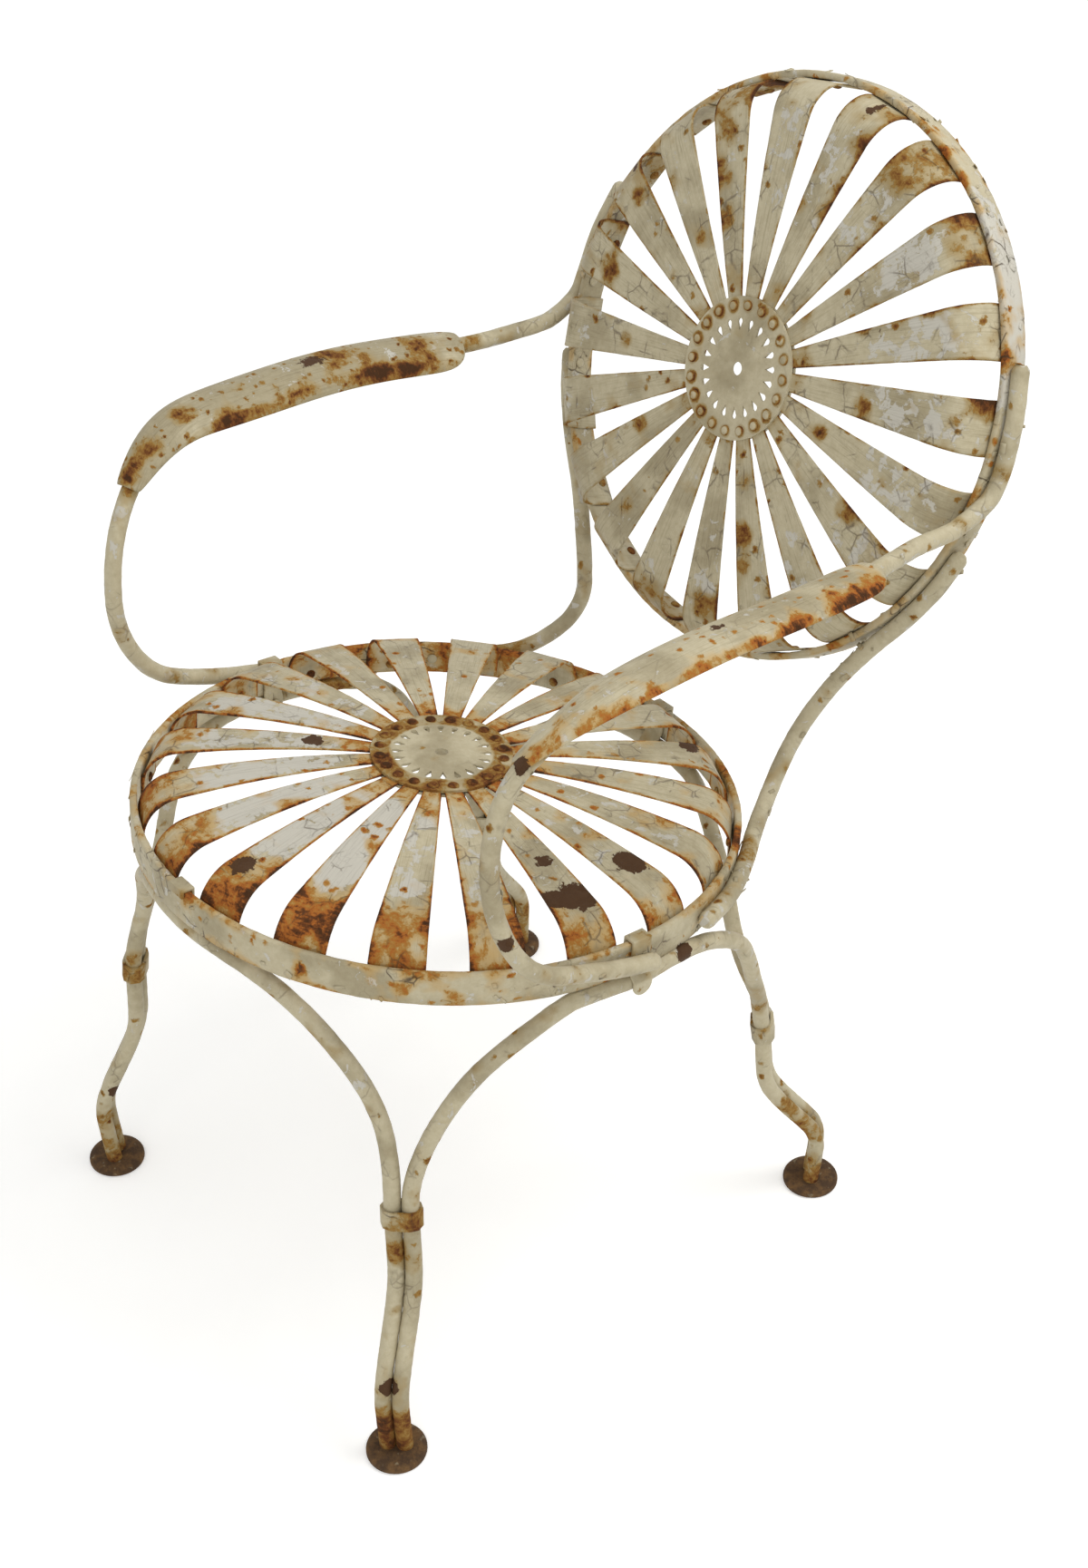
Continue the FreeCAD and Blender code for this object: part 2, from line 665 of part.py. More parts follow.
def build():
    """Every piece of the chair by name."""
    pieces, seat_ring, seat_rivets = bowl(seat_place, seat_outer_radius, seat_hoop_height,
                                          seat_crown, seat_bow_radius, "seat")
    back_pieces, back_ring, back_rivets = bowl(back_place, back_outer_radius, back_hoop_height,
                                               back_crown, back_bow_radius, "back")
    pieces.update(back_pieces)
    pieces["hub_rings"] = Part.makeCompound([seat_ring, back_ring])
    pieces["slat_rivets"] = Part.makeCompound(seat_rivets + back_rivets)
    pieces["frame_rivets"] = Part.makeCompound(frame_rivets())
    four_legs = legs()
    front_left, front_right = four_legs["front_left"], four_legs["front_right"]
    rear_left, rear_right = four_legs["rear_left"], four_legs["rear_right"]
    front_arch = arch_path(-90, end_arch_inset, front_right, end_arch_way, front_left, end_arch_way)
    left_arch = arch_path(0, side_arch_inset, front_left, side_arch_front_way, rear_left, side_arch_rear_way)
    rear_arch = arch_path(90, end_arch_inset, rear_left, end_arch_way, rear_right, end_arch_way)
    pieces["front_leg_arch"] = bent_bar(front_arch)
    pieces["left_leg_arch"] = bent_bar(left_arch)
    pieces["rear_leg_arch"] = bent_bar(rear_arch)
    pieces["right_leg_arch"] = mirrored(pieces["left_leg_arch"])
    pieces["leg_collars"] = Part.makeCompound([collar(leg) for leg in four_legs.values()])
    pieces["feet"] = Part.makeCompound([foot(leg) for leg in four_legs.values()])
    clips = [side_clip(), end_clip(), side_clip(), end_clip()]
    placed_clips = [placed(turned(clip, 90 * quarter), seat_place) for quarter, clip in enumerate(clips)]
    pieces["hoop_clips"] = Part.makeCompound(placed_clips)
    pieces["left_arm_bar"] = bent_bar(arm_path())
    pieces["right_arm_bar"] = mirrored(pieces["left_arm_bar"])
    pieces["left_back_stay"] = bent_bar(stay_path())
    pieces["right_back_stay"] = mirrored(pieces["left_back_stay"])
    pieces["left_arm_rest"] = arm_rest()
    pieces["right_arm_rest"] = mirrored(pieces["left_arm_rest"])
    return pieces


def save(pieces):
    """Moves the chair so that its origin is under the middle of its outline, and writes each piece."""
    box = Part.makeCompound([pieces["feet"], pieces["back_hoop"]]).optimalBoundingBox(False, False)
    to_middle = Vector(0, -(box.YMin + box.YMax) / 2, 0)
    for name, shape in pieces.items():
        moved = shape.copy()
        moved.translate(to_middle)
        moved.exportStep("parts/" + name + ".step")
        print(name, len(moved.Solids), round(moved.Volume), moved.isValid())
    print("moved along y by", round(to_middle.y, 3))


save(build())
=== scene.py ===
"""Looks of a garden armchair: old cream paint over rusting bar, strip and sheet steel."""

import json
import math

import bmesh
import bpy
import numpy as np
from mathutils import Matrix, Vector

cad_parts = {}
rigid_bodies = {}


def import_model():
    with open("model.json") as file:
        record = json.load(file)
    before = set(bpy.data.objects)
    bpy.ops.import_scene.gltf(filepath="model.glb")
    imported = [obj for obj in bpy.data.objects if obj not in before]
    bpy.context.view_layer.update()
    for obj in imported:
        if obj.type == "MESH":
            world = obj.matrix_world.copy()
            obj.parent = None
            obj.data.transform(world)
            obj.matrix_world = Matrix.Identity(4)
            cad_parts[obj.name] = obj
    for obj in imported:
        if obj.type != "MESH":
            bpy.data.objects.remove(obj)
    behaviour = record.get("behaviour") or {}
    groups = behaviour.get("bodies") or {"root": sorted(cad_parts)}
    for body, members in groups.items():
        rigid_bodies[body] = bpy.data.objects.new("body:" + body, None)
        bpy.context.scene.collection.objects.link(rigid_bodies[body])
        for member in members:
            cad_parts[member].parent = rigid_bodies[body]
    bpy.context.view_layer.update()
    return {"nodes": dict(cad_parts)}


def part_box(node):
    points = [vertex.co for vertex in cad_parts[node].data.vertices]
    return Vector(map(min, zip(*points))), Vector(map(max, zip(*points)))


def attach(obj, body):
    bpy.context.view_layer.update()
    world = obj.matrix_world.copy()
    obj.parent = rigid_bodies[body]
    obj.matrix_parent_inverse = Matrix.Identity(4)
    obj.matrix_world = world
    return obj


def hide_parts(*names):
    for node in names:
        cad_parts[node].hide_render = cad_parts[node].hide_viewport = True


bl_info = {
    "name": "Spring Slat Garden Armchair",
    "version": (1, 0, 0),
    "blender": (4, 5, 0),
    "location": "3D View > Sidebar > Armchair",
    "description": "Builds the painted and rusted pieces of a riveted garden armchair",
    "category": "Add Mesh",
}

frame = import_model()
NODES = frame["nodes"]
BODY = "root"
MM = 0.001
FANS = ("seat", "back")
# The lie of each fan and its hoop: tilt in degrees, then hoop depth, crown and bow radius in mm
BOWLS = {"seat": (-5.7, 25, 30, 722), "back": (69.6, 22, 31, 1400)}
# The first seed of each kind of piece, from which its copies count on
SEEDS = {"slats": 3, "slat wear": 11, "hoops": 21, "hubs": 31, "rivets": 41, "bars": 51, "chips": 71,
         "chip turns": 5}


# Sizes and colours that a user would change


def in_mm(name, description, default):
    """A length to set, with its default in millimetres."""
    return bpy.props.FloatProperty(name=name, description=description, default=default * MM, unit="LENGTH")


def in_hex(name, description, default):
    """A colour to set, as an sRGB hex value."""
    return bpy.props.StringProperty(name=name, description=description, default=default)


class SlatSettings(bpy.types.PropertyGroup):
    count: bpy.props.IntProperty(name="Slats", description="Slats in each fan", default=20, min=3)
    strip: in_mm("Strip Thickness", "Thickness of the spring strip", 1.6)
    hub_width: in_mm("Width at Hub", "Slat width at the edge of the hub", 13)
    rim_width: in_mm("Width at Rim", "Slat width inside the hoop", 38)
    inner_radius: in_mm("Inner Radius", "Where a slat starts under the hub", 38)
    bend_reach: in_mm("Bend Reach", "How far in from the rim the bend starts", 25)
    tail: in_mm("Tail", "How far a slat reaches down inside the hoop", 22)
    gap: in_mm("Gap", "Left between a slat's edges and the hoop", 0.3)
    ease: in_mm("Eased Edge", "How much of a slat's edge is worn off", 0.5)
    lumps: in_mm("Paint Lumps", "How uneven the old coats of paint are", 0.5)
    roll: bpy.props.FloatProperty(name="Roll", description="Most that a slat is twisted by use",
                                  default=math.radians(1.1), subtype="ANGLE")


class BowlSettings(bpy.types.PropertyGroup):
    turn: bpy.props.FloatProperty(name="Turn", description="Turn about the X axis", default=0.0,
                                  subtype="ANGLE")
    depth: in_mm("Hoop Depth", "Height of the flat bar", 25)
    crown: in_mm("Crown", "Rise of the slats at the hub", 30)
    bow_radius: in_mm("Bow Radius", "Radius of the slats' slow bow", 1000)
    wall: in_mm("Hoop Thickness", "Thickness of the flat bar", 5)
    ease: in_mm("Eased Edge", "How much of the flat bar's edge is worn off", 0.9)
    lumps: in_mm("Paint Lumps", "How uneven the old coats of paint are", 1)


class HubSettings(bpy.types.PropertyGroup):
    radius: in_mm("Radius", "Radius of the disc", 50)
    sheet: in_mm("Sheet", "Thickness of the disc", 2)
    hole_radius: in_mm("Middle Hole", "Radius of the middle hole", 4.75)
    drop_inner: in_mm("Teardrop Tip", "Radius at the tip of a teardrop", 26.3)
    drop_outer: in_mm("Teardrop End", "Radius at the round end of a teardrop", 35)
    drop_width: in_mm("Teardrop Width", "Width of a teardrop", 4.7)
    rivet_circle: in_mm("Rivet Circle", "Radius of the ring of rivets", 43.75)
    rivet_radius: in_mm("Rivet Radius", "Radius of a rivet head", 3.7)
    rivet_rise: in_mm("Rivet Rise", "Height of a rivet head", 1.9)
    rivet_lumps: in_mm("Rivet Lumps", "How uneven the painted rivet heads are", 0.3)
    rim_drop: in_mm("Rim Rivet Drop", "Rim rivets below the rim", 15.9)


class BarSettings(bpy.types.PropertyGroup):
    radius: in_mm("Radius", "Radius of the bar", 6.1)
    step: in_mm("Step", "Length of one piece of the smooth path", 2.4)
    lumps: in_mm("Lumps", "How uneven the forged and painted bar is", 0.9)
    chip: in_mm("Paint Chip", "Length of a paint chip", 5)
    chips: bpy.props.FloatProperty(name="Paint Chips", description="Chips on each square metre", default=1500)
    chip_sheet: in_mm("Chip Thickness", "Thickness of the coats of paint in a chip", 0.5)
    corners: bpy.props.IntProperty(name="Corners", description="Corners of the worked section", default=8)


class PaintSettings(bpy.types.PropertyGroup):
    cream: in_hex("Cream", "Top coat", "#BFB598")
    # The dirty coat colour, which on the right arm sheet also spreads wider as painted shade
    shade: in_hex("Shade", "Dirty top coat", "#A59A7D")
    mottle: in_hex("Mottle", "Fine dirt on the top coat", "#BDB296")
    mark: in_hex("Brush Mark", "Dirt along a brush mark", "#A89F88")
    chalk: in_hex("Chalk", "Pale undercoat", "#C1BDB1")
    worn: in_hex("Worn Chalk", "Undercoat along a scratch", "#8F897C")
    pit: in_hex("Pit", "Dirt in a pit of the undercoat", "#857B66")
    stain: in_hex("Stain", "Rust-stained paint", "#B6965D")
    gold: in_hex("Golden Rust", "Thin new rust", "#A07236")
    orange: in_hex("Orange Rust", "Fresh rust", "#A2602A")
    old_stain: in_hex("Old Stain", "Stain where the rust is old", "#9C8556")
    old_gold: in_hex("Old Golden Rust", "Thin rust that is old", "#94723C")
    old_orange: in_hex("Old Orange Rust", "Rust that is old", "#80592B")
    brown: in_hex("Brown Rust", "Thick rust", "#663C20")
    scale: in_hex("Rust Scale", "The thickest rust", "#442C1A")
    bare: in_hex("Bare Steel", "Where the paint fell off", "#57412E")
    crack: in_hex("Crack", "Dirt in a crack", "#4A3B2A")
    foot: in_hex("Foot", "Rusted foot pads", "#463321")
    dust: in_hex("Rust Dust", "Loose rust on the foot pads", "#6E5130")


class StageSettings(bpy.types.PropertyGroup):
    camera_place: bpy.props.FloatVectorProperty(
        name="Camera", description="Place of the camera", size=3, default=(1.06467, -0.86185, 1.34989),
        subtype="TRANSLATION")
    camera_turn: bpy.props.FloatVectorProperty(
        name="Camera Turn", description="Turn of the camera", size=3, subtype="EULER",
        default=(math.radians(52.0793), math.radians(-0.5817), math.radians(49.3728)))
    lens: bpy.props.FloatProperty(name="Lens", description="Focal length", default=52.87, unit="CAMERA")
    shift: bpy.props.FloatVectorProperty(
        name="Shift", description="Lens shift", size=2, default=(-0.0373, 0.045))
    floor: in_hex("Floor", "Floor colour", "#F4F4F2")


def make_linear(code):
    """An sRGB hex colour as linear values, with full opacity."""
    shares = [int(code[place:place + 2], 16) / 255 for place in (1, 3, 5)]
    linear = [share / 12.92 if share <= 0.04045 else ((share + 0.055) / 1.055) ** 2.4 for share in shares]
    return linear + [1]


def add(tree, kind, inputs=None, **settings):
    """Adds a node with its settings, and fills inputs with values, sockets or other nodes' outputs."""
    node = tree.nodes.new(kind)
    for name, value in settings.items():
        setattr(node, name, value)
    for name, value in (inputs or {}).items():
        socket = node.inputs[name]
        if isinstance(name, str):
            socket = next(each for each in node.inputs if each.name == name and each.enabled)
        if isinstance(value, bpy.types.Node):
            value = next(each for each in value.outputs if each.enabled)
        if isinstance(value, bpy.types.NodeSocket):
            tree.links.new(value, socket)
        else:
            socket.default_value = value
    return node


# Materials: the scale of a pattern is 1000 divided by its size in mm

# How worn the paint is on each kind of steel, and for the right arm sheet how much painted shade darkens its
# top coat
RECIPES = {
    "brush-painted seat spring steel": dict(cracks=0.7, speckle=0.9),
    "brush-painted back spring steel": dict(age=0.2, olive=True, cracks=0.7, speckle=0.9),
    "brush-painted seat hub sheet": dict(rust=-0.02, age=0.1, olive=True, cracks=0.2, speckle=0.3,
                                         offset=0.31),
    "brush-painted back hub sheet": dict(rust=-0.02, olive=True, cracks=0.2, speckle=0.2, offset=0.43),
    "brush-painted flat bar": dict(rust=-0.02, speckle=0.7, offset=0.57),
    "brush-painted round bar": dict(rust=-0.02, age=0.1, olive=True, cracks=0.45, speckle=0.7,
                                    offset=0.83),
    "brush-painted left arm sheet": dict(rust=-0.04, cracks=0.25, speckle=1.6, dot_pitch=7, offset=1.13),
    # Painted shade: the right arm sheet faces away from the light, so its top coat is darkened all over
    "brush-painted right arm sheet": dict(rust=-0.09, age=0.35, olive=True, cracks=0.15, speckle=2.4,
                                          dot_pitch=6, painted_shade=0.16, offset=1.25),
    "brush-painted strap": dict(rust=0.04, age=0.1, olive=True, cracks=0.8, speckle=0.8, offset=1.37),
    "painted rivet head": dict(age=0.2, olive=True, cracks=0.1, speckle=0, offset=1.61),
}
# How rusty each hub is: its outer ring, and round each of its rivets
HUB_RUST = {"seat": (0.72, 1.0), "back": (0.12, 0.75)}
# Scales of the brush marks and of the bands of rust, along, across and through a strip
BRUSH_MARKS = (1000 / 30, 1000 / 1.1, 10)
RUST_BANDS = (1000 / 3, 1000 / 17, 10)
# Where on the scale of rust each colour from stain to scale stands
RUST_STOPS = (0.0, 0.28, 0.48, 0.72, 1.0)


def new_material(name):
    """An empty material and its node tree."""
    material = bpy.data.materials.new(name)
    material.use_nodes = True
    material.node_tree.nodes.clear()
    return material, material.node_tree


def finish_of(name, hub=None):
    """The finish of one kind of piece, made the first time it is asked for."""
    return bpy.data.materials.get(name) or old_paint(name, hub=hub, **RECIPES[name])


def old_paint(name, rust=0.0, age=0.0, olive=False, cracks=1.0, speckle=1.0, dot_pitch=9, painted_shade=0.0,
              offset=0.0, hub=None):
    """Many coats of brush-painted oil paint on rusting mild steel.

    It looks thick, dull and uneven, shows pale undercoat where the top coat wore off, cracks like dried
    mud where the steel under it swelled with rust, and stains brown round every place that water gets in.

    Rust, age, cracks and speckle say how much there is of each, and the painted shade setting darkens the
    whole top coat as painted shade, for a piece that faces away from the light. Olive picks the colours of
    old rust, dot_pitch is how far apart pinholes are in mm, and offset moves the pattern, in metres. For a
    hub disc, hub holds its place, how rusty its outer ring is and how rusty its rivets' halos are.
    """
    colours = bpy.context.scene.armchair_paint
    material, tree = new_material(name)
    place = add(tree, "ShaderNodeTexCoord").outputs["Object"]
    moved = add(tree, "ShaderNodeMapping", {"Vector": place, "Location": (offset, offset * 0.7, -offset)})
    wander = add(tree, "ShaderNodeTexNoise", {"Vector": moved, "Scale": 1000 / 14, "Detail": 3.0})
    warp = add(tree, "ShaderNodeVectorMath", {0: wander.outputs["Color"], "Scale": 6 * MM},
               operation="SCALE")
    warped = add(tree, "ShaderNodeVectorMath", {0: moved, 1: warp}, operation="ADD")
    lie = add(tree, "ShaderNodeAttribute", attribute_name="lie").outputs["Vector"]
    if hub:
        rust_here = rust_of_hub(tree, place, *hub)
    else:
        rust_here = add(tree, "ShaderNodeAttribute", attribute_name="rust").outputs["Fac"]

    coat, fine, scratch, brushed = top_coat(tree, moved, lie, painted_shade)
    coat, chalk_mask = undercoat(tree, warped, brushed, scratch, coat)

    # A soft tan stain, 22 mm across, that water left round each rusty place
    soft = add(tree, "ShaderNodeTexNoise", {"Vector": warped, "Scale": 1000 / 22, "Detail": 2.5})
    soft = add(tree, "ShaderNodeMath", {0: rust_here, 1: 0.5, 2: soft}, operation="MULTIPLY_ADD")
    stain_mask = add(tree, "ShaderNodeMapRange",
                     {"Value": soft, "From Min": 0.57 - rust, "From Max": 0.8 - rust, "To Max": 0.85},
                     interpolation_type="SMOOTHSTEP")
    stain = make_linear(colours.old_stain if olive else colours.stain)

    # Rust, cracks and bare steel lie over the stain in this order
    amount, grain = amount_of_rust(tree, warped, rust_here, rust, speckle, dot_pitch)
    tone = tone_of_rust(tree, lie, grain, amount, age)
    rust_mask = add(tree, "ShaderNodeMapRange", {"Value": tone, "From Min": 0.02, "From Max": 0.2},
                    interpolation_type="SMOOTHSTEP")
    crack_mask = crack_lines(tree, moved, warped, cracks)
    bare_mask = fallen_plates(tree, warped, fine)
    steel = add(tree, "ShaderNodeMix",
                {0: grain, 6: make_linear(colours.scale), 7: make_linear(colours.bare)}, data_type="RGBA")
    colour = coat
    for mask, layer in ((stain_mask, stain), (rust_mask, colour_of_rust(tree, tone, olive)),
                        (crack_mask, make_linear(colours.crack)), (bare_mask, steel)):
        colour = add(tree, "ShaderNodeMix", {0: mask, 6: colour, 7: layer}, data_type="RGBA")

    # Height of the paint: down at cracks, bare steel and undercoat, rough where it rusts
    height = fine
    rough = add(tree, "ShaderNodeMath", {0: rust_mask, 1: grain}, operation="MULTIPLY")
    for mask, rise in ((crack_mask, -1.0), (bare_mask, -1.3), (chalk_mask, -0.4), (rough, 1.2)):
        height = add(tree, "ShaderNodeMath", {0: mask, 1: rise, 2: height}, operation="MULTIPLY_ADD")
    bump = add(tree, "ShaderNodeBump", {"Height": height, "Strength": 0.55, "Distance": 0.6 * MM})

    # Oil paint keeps a little gloss, and rust and bare steel have next to none
    dull = add(tree, "ShaderNodeMapRange", {"Value": rust_mask, "To Min": 0.55, "To Max": 0.85})
    dry = add(tree, "ShaderNodeMath", {0: rust_mask, 1: bare_mask}, operation="MAXIMUM")
    gloss = add(tree, "ShaderNodeMapRange", {"Value": dry, "To Min": 0.3, "To Max": 0.08})
    shader = add(tree, "ShaderNodeBsdfPrincipled",
                 {"Base Color": colour, "Roughness": dull, "Normal": bump, "Specular IOR Level": gloss})
    add(tree, "ShaderNodeOutputMaterial", {"Surface": shader})
    return material


def rust_of_hub(tree, place, place_of_hub, ring, halo):
    """How rusty a hub disc is: its outer ring all over, and a halo round each of its rivets."""
    hub, count = bpy.context.scene.armchair_hub, bpy.context.scene.armchair_slats.count
    flat = add(tree, "ShaderNodeMapping",
               {"Vector": place, "Location": place_of_hub.to_translation(),
                "Rotation": place_of_hub.to_euler()}, vector_type="TEXTURE")
    flat = add(tree, "ShaderNodeVectorMath", {0: flat, 1: (1, 1, 0)}, operation="MULTIPLY")
    radius = add(tree, "ShaderNodeVectorMath", {0: flat}, operation="LENGTH").outputs["Value"]
    parts = add(tree, "ShaderNodeSeparateXYZ", {0: flat}).outputs
    angle = add(tree, "ShaderNodeMath", {0: parts["Y"], 1: parts["X"]}, operation="ARCTAN2")
    steps = add(tree, "ShaderNodeMath", {0: angle, 1: count / math.tau}, operation="MULTIPLY")
    share = add(tree, "ShaderNodeMath", {0: steps}, operation="FRACT")
    pitch = math.tau * hub.rivet_circle / count
    aside = add(tree, "ShaderNodeMath", {0: share, 1: pitch, 2: -pitch / 2}, operation="MULTIPLY_ADD")
    out = add(tree, "ShaderNodeMath", {0: radius, 1: hub.rivet_circle}, operation="SUBTRACT")
    apart = add(tree, "ShaderNodeCombineXYZ", {"X": aside, "Y": out})
    apart = add(tree, "ShaderNodeVectorMath", {0: apart}, operation="LENGTH").outputs["Value"]
    near = add(tree, "ShaderNodeMapRange",
               {"Value": apart, "From Min": hub.rivet_radius * 0.9, "From Max": hub.rivet_radius * 2.1,
                "To Min": halo, "To Max": 0.0}, interpolation_type="SMOOTHSTEP")
    outer = add(tree, "ShaderNodeMapRange",
                {"Value": radius, "From Min": hub.drop_outer - 1.5 * MM,
                 "From Max": hub.drop_outer + 3 * MM, "To Max": ring}, interpolation_type="SMOOTHSTEP")
    return add(tree, "ShaderNodeMath", {0: near, 1: outer}, operation="MAXIMUM").outputs[0]


def top_coat(tree, moved, lie, painted_shade):
    """Cream paint, dirty in patches of 45 mm, mottled at 5 mm, with brush marks 1 mm apart."""
    colours = bpy.context.scene.armchair_paint
    broad = add(tree, "ShaderNodeTexNoise", {"Vector": moved, "Scale": 1000 / 45, "Detail": 5.0})
    # Painted shade: a higher painted shade setting moves both bounds up, so the dirty colour covers more of
    # the coat
    dirt = add(tree, "ShaderNodeMapRange",
               {"Value": broad, "From Min": 0.36 + painted_shade, "From Max": 0.56 + painted_shade},
               interpolation_type="SMOOTHSTEP")
    coat = add(tree, "ShaderNodeMix",
               {0: dirt, 6: make_linear(colours.shade), 7: make_linear(colours.cream)}, data_type="RGBA")
    fine = add(tree, "ShaderNodeTexNoise",
               {"Vector": moved, "Scale": 1000 / 5, "Detail": 6.0, "Roughness": 0.7})
    mottle = add(tree, "ShaderNodeMapRange",
                 {"Value": fine, "From Min": 0.35, "From Max": 0.8, "To Max": 0.4})
    coat = add(tree, "ShaderNodeMix", {0: mottle, 6: coat, 7: make_linear(colours.mottle)},
               data_type="RGBA", blend_type="MULTIPLY")
    brushed = add(tree, "ShaderNodeVectorMath", {0: lie, 1: BRUSH_MARKS}, operation="MULTIPLY")
    brush = add(tree, "ShaderNodeTexNoise",
                {"Vector": brushed, "Scale": 1.0, "Detail": 4.0, "Roughness": 0.6})
    scratch = add(tree, "ShaderNodeMapRange",
                  {"Value": brush, "From Min": 0.5, "From Max": 0.75, "To Max": 0.5})
    coat = add(tree, "ShaderNodeMix", {0: scratch, 6: coat, 7: make_linear(colours.mark)}, data_type="RGBA",
               blend_type="MULTIPLY")
    return coat, fine, scratch, brushed


def undercoat(tree, warped, brushed, scratch, coat):
    """Pale undercoat over the coat in sharp-edged islands 12 mm across, scratched and pitted."""
    colours = bpy.context.scene.armchair_paint
    chalk_here = add(tree, "ShaderNodeAttribute", attribute_name="chalk").outputs["Fac"]
    islands = add(tree, "ShaderNodeTexNoise",
                  {"Vector": warped, "Scale": 1000 / 12, "Detail": 9.0, "Roughness": 0.66,
                   "Distortion": 0.5})
    lift = add(tree, "ShaderNodeMath", {0: chalk_here, 1: 0.42, 2: islands}, operation="MULTIPLY_ADD")
    chalk_mask = add(tree, "ShaderNodeMapRange",
                     {"Value": lift, "From Min": 0.655, "From Max": 0.675, "To Max": 0.9},
                     interpolation_type="SMOOTHSTEP")
    pale = add(tree, "ShaderNodeMix",
               {0: scratch, 6: make_linear(colours.chalk), 7: make_linear(colours.worn)}, data_type="RGBA")
    pits = add(tree, "ShaderNodeTexNoise",
               {"Vector": brushed, "Scale": 0.7, "Detail": 7.0, "Roughness": 0.8})
    pits = add(tree, "ShaderNodeMapRange",
               {"Value": pits, "From Min": 0.6, "From Max": 0.68, "To Max": 0.6})
    pale = add(tree, "ShaderNodeMix", {0: pits, 6: pale, 7: make_linear(colours.pit)}, data_type="RGBA")
    return add(tree, "ShaderNodeMix", {0: chalk_mask, 6: coat, 7: pale}, data_type="RGBA"), chalk_mask


def amount_of_rust(tree, warped, rust_here, rust, speckle, dot_pitch):
    """How much rust there is, in ragged patches of 22 mm and in pinholes, and its grain of 7 mm."""
    ragged = add(tree, "ShaderNodeTexNoise",
                 {"Vector": warped, "Scale": 1000 / 22, "Detail": 10.0, "Roughness": 0.7,
                  "Distortion": 0.2})
    ragged = add(tree, "ShaderNodeMath", {0: ragged, 1: 1.7, 2: -0.35}, operation="MULTIPLY_ADD")
    ragged = add(tree, "ShaderNodeMath", {0: rust_here, 1: 0.55, 2: ragged}, operation="MULTIPLY_ADD")
    amount = add(tree, "ShaderNodeMapRange",
                 {"Value": ragged, "From Min": 0.76 - rust, "From Max": 1.22 - rust})
    grain = add(tree, "ShaderNodeTexNoise",
                {"Vector": warped, "Scale": 1000 / 7, "Detail": 9.0, "Roughness": 0.72})
    frayed = add(tree, "ShaderNodeVectorMath", {0: grain.outputs["Color"], "Scale": 10 * MM},
                 operation="SCALE")
    frayed = add(tree, "ShaderNodeVectorMath", {0: warped, 1: frayed}, operation="ADD")
    cells = add(tree, "ShaderNodeTexVoronoi", {"Vector": frayed, "Scale": 1000 / dot_pitch}).outputs
    dot = add(tree, "ShaderNodeMapRange",
              {"Value": cells["Distance"], "From Max": 0.45, "To Min": 0.8, "To Max": 0.0},
              interpolation_type="SMOOTHSTEP")
    chance = add(tree, "ShaderNodeSeparateColor", {0: cells["Color"]}).outputs
    own = add(tree, "ShaderNodeMapRange", {"Value": chance["Green"], "To Min": 0.45})
    dot = add(tree, "ShaderNodeMath", {0: dot, 1: own}, operation="MULTIPLY")
    picked = add(tree, "ShaderNodeMath", {0: rust_here, 1: 0.3, 2: chance["Red"]}, operation="MULTIPLY_ADD")
    least = 0.97 - 0.12 * speckle
    picked = add(tree, "ShaderNodeMapRange", {"Value": picked, "From Min": least, "From Max": least + 0.08})
    dots = add(tree, "ShaderNodeMath", {0: dot, 1: picked}, operation="MULTIPLY")
    return add(tree, "ShaderNodeMath", {0: amount, 1: dots}, operation="MAXIMUM"), grain


def tone_of_rust(tree, lie, grain, amount, age):
    """How dark the rust is: by how much there is, by its grain, and in bands 3 mm wide across a strip."""
    across = add(tree, "ShaderNodeVectorMath", {0: lie, 1: RUST_BANDS}, operation="MULTIPLY")
    bands = add(tree, "ShaderNodeTexNoise",
                {"Vector": across, "Scale": 1.0, "Detail": 5.0, "Roughness": 0.65})
    uneven = add(tree, "ShaderNodeMath", {0: bands, 1: 0.8, 2: grain}, operation="MULTIPLY_ADD")
    uneven = add(tree, "ShaderNodeMath", {0: uneven, 1: 0.9}, operation="SUBTRACT")
    swing = add(tree, "ShaderNodeMath", {0: uneven, 1: amount}, operation="MULTIPLY")
    aged = add(tree, "ShaderNodeMath", {0: amount, 1: 1 + age}, operation="MULTIPLY")
    return add(tree, "ShaderNodeMath", {0: swing, 1: 2.4, 2: aged}, operation="MULTIPLY_ADD")


def colour_of_rust(tree, tone, olive):
    """The colour of rust by its tone, from a golden stain to dark scale."""
    colours = bpy.context.scene.armchair_paint
    shades = [colours.stain, colours.gold, colours.orange, colours.brown, colours.scale]
    if olive:
        shades[:3] = colours.old_stain, colours.old_gold, colours.old_orange
    ramp = add(tree, "ShaderNodeValToRGB", {0: tone})
    stops = ramp.color_ramp.elements
    for index, (spot, shade) in enumerate(zip(RUST_STOPS, shades)):
        stop = stops[index] if index < 2 else stops.new(spot)
        stop.position = spot
        stop.color = make_linear(shade)
    return ramp


def crack_lines(tree, moved, warped, cracks):
    """Cracks between plates of 15 mm and finer ones of 6 mm, only in patches of 26 mm."""
    lines = 0.0
    for size, width, depth in ((15, 0.055, 1.0), (6, 0.07, 0.3)):
        away = add(tree, "ShaderNodeTexVoronoi", {"Vector": warped, "Scale": 1000 / size},
                   feature="DISTANCE_TO_EDGE")
        line = add(tree, "ShaderNodeMapRange",
                   {"Value": away, "From Max": width, "To Min": depth, "To Max": 0.0})
        lines = add(tree, "ShaderNodeMath", {0: line, 1: lines}, operation="MAXIMUM")
    patch = add(tree, "ShaderNodeTexNoise",
                {"Vector": moved, "Scale": 1000 / 26, "Detail": 6.0, "Roughness": 0.6})
    patch = add(tree, "ShaderNodeMapRange",
                {"Value": patch, "From Min": 0.5, "From Max": 0.62, "To Max": cracks},
                interpolation_type="SMOOTHSTEP")
    return add(tree, "ShaderNodeMath", {0: lines, 1: patch}, operation="MULTIPLY")


